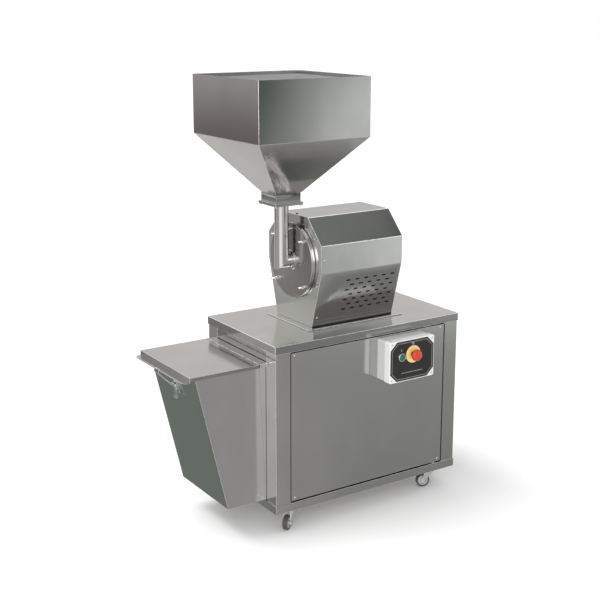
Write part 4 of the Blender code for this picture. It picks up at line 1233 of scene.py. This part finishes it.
WIRE_R = 0.001
bail_low, bail_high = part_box("latch_bail")
start = latch_root + slope * -0.010 + out * 0.007
reach_y = 0.016
outside = bail_low.x + WIRE_R
over = bail_high.z - WIRE_R
corner_z = over - 0.0046
half_route = [(start.x, 0.0060, start.z), (start.x, 0.0140, start.z),
              (start.x - 0.0002, 0.0155, start.z + 0.0006),
              (start.x - 0.0006, reach_y, start.z + 0.0022)]
for step in range(1, 8):
    share = step / 8
    half_route.append((start.x - 0.0006 + (outside + 0.0010 - start.x + 0.0006) * share, reach_y,
                       start.z + 0.0022 + (corner_z - 0.006 - start.z - 0.0022) * share))
half_route += [(outside + 0.0010, reach_y, corner_z - 0.006), (outside, reach_y, corner_z - 0.001),
               (outside + 0.0002, reach_y, corner_z + 0.002),
               (outside + 0.0009, reach_y, over - 0.0008), (outside + 0.0025, reach_y, over),
               (outside + 0.0052, reach_y - 0.0004, over),
               (outside + 0.0066, reach_y - 0.0016, over),
               (outside + 0.0072, reach_y - 0.0034, over)]
route = [(x, middle.y + y, z) for x, y, z in half_route]
route += [(x, middle.y - y, z) for x, y, z in reversed(half_route)]
shape = bmesh.new()
bead(shape, route, WIRE_R, 12, closed=False)
place("latch_bail_wire", shape, "latch_bail", "bright_fittings", "latch_bail", flat_faces=False)
print("latch pieces made")

# %% [markdown]
# ## Castors
#
# Each castor has a top plate with four nuts, a pressed fork, and a rubber tread on a
# grey hub. The hub rides with the wheel, and the axle nuts ride with the fork.

# %% Castors
CASTOR_TURN = {"front_left": 217, "front_right": 158, "back_left": 200, "back_right": 30}
WHEEL_HALF, TRAIL = 0.009, 0.024
TREAD = [(-0.0072, 0.0185), (-0.0090, 0.0190), (-0.0090, 0.0215), (-0.0076, 0.0238),
         (-0.0050, 0.0250), (0.0050, 0.0250), (0.0076, 0.0238), (0.0090, 0.0215),
         (0.0090, 0.0190), (0.0072, 0.0185), (-0.0072, 0.0185)]
HUB = [(-0.0088, 0.0036), (-0.0088, 0.0072), (-0.0058, 0.0085), (-0.0052, 0.0140),
       (-0.0080, 0.0150), (-0.0080, 0.0187), (0.0080, 0.0187), (0.0080, 0.0150),
       (0.0052, 0.0140), (0.0058, 0.0085), (0.0088, 0.0072), (0.0088, 0.0036),
       (-0.0088, 0.0036)]
for corner, degrees in CASTOR_TURN.items():
    low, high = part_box(f"castor_plate_{corner}")
    swivel = (low + high) / 2
    turned_by = Matrix.Rotation(radians(degrees), 4, "Z")
    axle = Vector((swivel.x, swivel.y, 0.025)) + turned_by @ Vector((TRAIL, 0.0, 0.0))
    stand = Matrix.Translation(axle) @ turned_by
    wheel_body, fork_body = f"castor_wheel_{corner}", f"castor_fork_{corner}"
    shape = bmesh.new()
    add(shape, turned(TREAD, "y", (0, 0, 0), 72, 0.0008), stand)
    place(f"wheel_tread_{corner}", shape, wheel_body, "grey_rubber", f"castor_wheel_{corner}",
          flat_faces=False)
    shape = bmesh.new()
    add(shape, turned(HUB, "y", (0, 0, 0), 60, 0.0006), stand)
    place(f"wheel_hub_{corner}", shape, wheel_body, "zinc_castor", flat_faces=False)
    shape = clean_copy(f"castor_fork_{corner}")
    round_edges(shape, outward_edges(shape, 0.0014, radians(35)), 0.0005, 2)
    place(f"fork_{corner}", shape, fork_body, "zinc_castor", f"castor_fork_{corner}")
    ends = [(stand @ Vector((0.0, side * (WHEEL_HALF + 0.0035), 0.0)),
             turned_by @ Vector((0.0, side, 0.0))) for side in (-1, 1)]
    fixings(f"axle_nuts_{corner}", ends, lambda: hex_nut(0.0095, 0.0028, 0.0022), fork_body,
            "zinc_castor")
    shape = clean_copy(f"castor_plate_{corner}")
    round_edges(shape, outward_edges(shape, 0.0014, radians(60)), 0.0006, 2)
    place(f"top_plate_{corner}", shape, "cabinet", "zinc_castor", f"castor_plate_{corner}")
    fixings(f"plate_nuts_{corner}",
            [(Vector((swivel.x + sx * 0.019, swivel.y + sy * 0.019, high.z - 0.0025)),
              (0.0, 0.0, -1.0)) for sx in (-1, 1) for sy in (-1, 1)],
            lambda: hex_nut(0.0065, 0.0028), "cabinet", "zinc_castor")

# %% [markdown]
# ## Switch box
#
# The box is a plain moulded case. Its lid has four corner screws and a black plate with
# cut corners. The start button sits in a bright ring, and the stop head stands on a
# yellow disc. The plate carries only a bar and a ring, the common marks for on and off.

# %% Switch box case
BODY_INSET = 0.0018
# The body takes the darker grey as painted shade, and the lid keeps the plain grey.
for node, look in (("control_box", housing_painted_shade), ("control_box_lid", housing_grey)):
    shape = clean_copy(node)
    low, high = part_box(node)
    if node == "control_box":
        heart = (low + high) / 2
        size = high - low
        shrink = Matrix.Diagonal((1 - 2 * BODY_INSET / size.x, 1.0, 1 - 2 * BODY_INSET / size.z, 1.0))
        bmesh.ops.transform(shape, matrix=Matrix.Translation(heart) @ shrink
                            @ Matrix.Translation(-heart), verts=shape.verts)
    across = [e for e in outward_edges(shape, 0.010)
              if abs((e.verts[0].co - e.verts[1].co).normalized().y) > 0.9]
    round_edges(shape, across, 0.006, 5)
    if node == "control_box_lid":
        rim = [e for e in outward_edges(shape, 0.0025, radians(60))
               if all(abs(v.co.y - low.y) < 1e-4 and
                      (v.co.x < low.x + 0.0065 or v.co.x > high.x - 0.0065
                       or v.co.z < low.z + 0.0065 or v.co.z > high.z - 0.0065) for v in e.verts)]
        round_edges(shape, rim, 0.0016, 3)
    place(f"{node}_case", shape, "cabinet", "grey_plastic", node, look=look)
lid_low, lid_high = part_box("control_box_lid")
front_y = lid_low.y
inset_by = 0.0095
spots = [(Vector((x, front_y, z)), FRONT) for x in (lid_low.x + inset_by, lid_high.x - inset_by)
         for z in (lid_low.z + inset_by, lid_high.z - inset_by)]
# The lid's screw heads take the darker grey as painted shade for their recesses.
fixings("box_lid_screws", spots, lambda: dome_screw(0.0042, 0.0009), slot="grey_plastic",
        look=housing_painted_shade)
box_low, box_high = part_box("control_box")
fixings("box_top_plugs", [(Vector((x, (box_low.y + lid_low.y) / 2 + 0.006, box_high.z)),
                           (0.0, 0.0, 1.0)) for x in (lid_low.x + 0.016, lid_high.x - 0.016)],
        lambda: dome_screw(0.0030, 0.0007), slot="black_plastic")

# %% [markdown]
# ### Label plate with its marks
#
# The box's lid carries a black plate with cut corners and a thin pale border. The marks
# are plain bars in place of words. They stand a fraction of a millimetre above the plate,
# so that they do not flicker against it.

# %% Label plate with its marks
LABEL_MARGIN, LABEL_CUT, LABEL_T = 0.0032, 0.0270, 0.0009


def octagon(low, high, cut, y):
    """Corners of a plate with cut corners in an upright plane."""
    return [(low.x + cut, y, low.z), (high.x - cut, y, low.z), (high.x, y, low.z + cut),
            (high.x, y, high.z - cut), (high.x - cut, y, high.z), (low.x + cut, y, high.z),
            (low.x, y, high.z - cut), (low.x, y, low.z + cut)]


def plate(points, thick):
    """A flat plate of an outline, raised towards the front."""
    shape = bmesh.new()
    face = shape.faces.new([shape.verts.new(point) for point in points])
    pushed = bmesh.ops.extrude_face_region(shape, geom=[face])["geom"]
    moved = [item for item in pushed if isinstance(item, bmesh.types.BMVert)]
    bmesh.ops.translate(shape, verts=moved, vec=(0.0, -thick, 0.0))
    bmesh.ops.recalc_face_normals(shape, faces=shape.faces)
    return shape


margin = Vector((LABEL_MARGIN, 0.0, LABEL_MARGIN))
label = plate(octagon(lid_low + margin, lid_high - margin, LABEL_CUT, front_y), LABEL_T)
place("switch_label", label, "cabinet", "black_plastic", look=label_black)
border = bmesh.new()
step = Vector((0.0062, 0.0, 0.0062))
outer = octagon(lid_low + margin + step, lid_high - margin - step, LABEL_CUT - 0.0036,
                front_y - LABEL_T)
thin = step + Vector((0.0010, 0.0, 0.0010))
inner = octagon(lid_low + margin + thin, lid_high - margin - thin, LABEL_CUT - 0.0042,
                front_y - LABEL_T)
lift = Vector((0.0, -0.0001, 0.0))
rings = [[border.verts.new(Vector(p) + lift) for p in ring] for ring in (outer, inner)]
edges = [border.edges.new((ring[i - 1], ring[i])) for ring in rings for i in range(8)]
bmesh.ops.bridge_loops(border, edges=edges)
bmesh.ops.recalc_face_normals(border, faces=border.faces)
place("label_border", border, "cabinet", "black_plastic", look=label_white, flat_faces=False)

start_low, start_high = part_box("start_button")
stop_low, stop_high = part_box("stop_collar")
start_at = (start_low + start_high) / 2
stop_at = (stop_low + stop_high) / 2
marks = bmesh.new()
front = front_y - LABEL_T
block(marks, (start_at.x - 0.0009, front - 0.0001, start_at.z + 0.0195),
      (start_at.x + 0.0009, front, start_at.z + 0.0275))
turn(marks, [(front - 0.0001, 0.0030), (front - 0.0001, 0.0046), (front, 0.0046)], "y",
     (stop_at.x, 0.0, stop_at.z + 0.0375), 40)
block(marks, (lid_low.x + 0.050, front - 0.0001, lid_low.z + 0.0290),
      (lid_high.x - 0.050, front, lid_low.z + 0.0302))
place("label_marks", marks, "cabinet", "black_plastic", look=label_white, flat_faces=False)
print("label", [round(v, 3) for v in (lid_high - lid_low - 2 * margin)])

# %% [markdown]
# ### Buttons
#
# The start button is a green cap in a bright bezel. The emergency stop is a red mushroom
# head on a black stem over a yellow disc. Each is turned in one line of points, and each
# rides with the part that moves, so that it travels when it is pressed.

# %% Buttons
spot = Vector((start_at.x, 0.0, start_at.z))
ring_front = front - 0.0065
place("start_bezel", turned([(front, 0.0113), (front, 0.0152), (ring_front + 0.0012, 0.0146),
                             (ring_front, 0.0136), (ring_front, 0.0120),
                             (ring_front + 0.0014, 0.0113), (front, 0.0113)], "y", spot, 64),
      "cabinet", "bright_fittings", flat_faces=False)
press = start_low.y
place("start_cap", turned([(start_high.y, 0.0), (start_high.y, 0.011), (press + 0.0006, 0.011),
                           (press, 0.0098), (press + 0.0004, 0.0085), (press + 0.0007, 0.0)],
                          "y", spot, 64, 0.0006), "start_button", "green_plastic",
      "start_button", flat_faces=False)
spot = Vector((stop_at.x, 0.0, stop_at.z))
place("stop_disc", turned([(stop_high.y, 0.0088), (stop_high.y, 0.030), (stop_low.y, 0.030),
                           (stop_low.y, 0.0120), (stop_low.y + 0.0008, 0.0112),
                           (stop_low.y + 0.0008, 0.0088), (stop_high.y, 0.0088)], "y", spot, 72,
                          0.0008), "cabinet", "yellow_plastic", "stop_collar", flat_faces=False)
stem_low, stem_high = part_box("stop_stem")
place("stop_stem_round", turned([(stem_low.y, 0.0), (stem_low.y, 0.0085), (stem_high.y, 0.0085),
                                 (stem_high.y, 0.0)], "y", spot, 48), "stop_stem",
      "black_plastic", "stop_stem", flat_faces=False)
head_low, head_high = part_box("stop_head")
deep = head_high.y - head_low.y
dome = [(head_high.y, 0.0), (head_high.y, 0.0125), (head_high.y - 0.003, 0.0180),
        (head_high.y - 0.0055, 0.0198), (head_high.y - 0.0075, 0.0200),
        (head_high.y - 0.0100, 0.0198)]
dome += [(head_high.y - 0.0100 - (deep - 0.0100) * sin(a), 0.0198 * cos(a))
         for a in (radians(v) for v in range(9, 90, 9))] + [(head_low.y, 0.0)]
place("stop_mushroom", turned(dome, "y", spot, 72, 0.0004), "stop_head", "red_plastic",
      "stop_head", flat_faces=False)
print("buttons made")
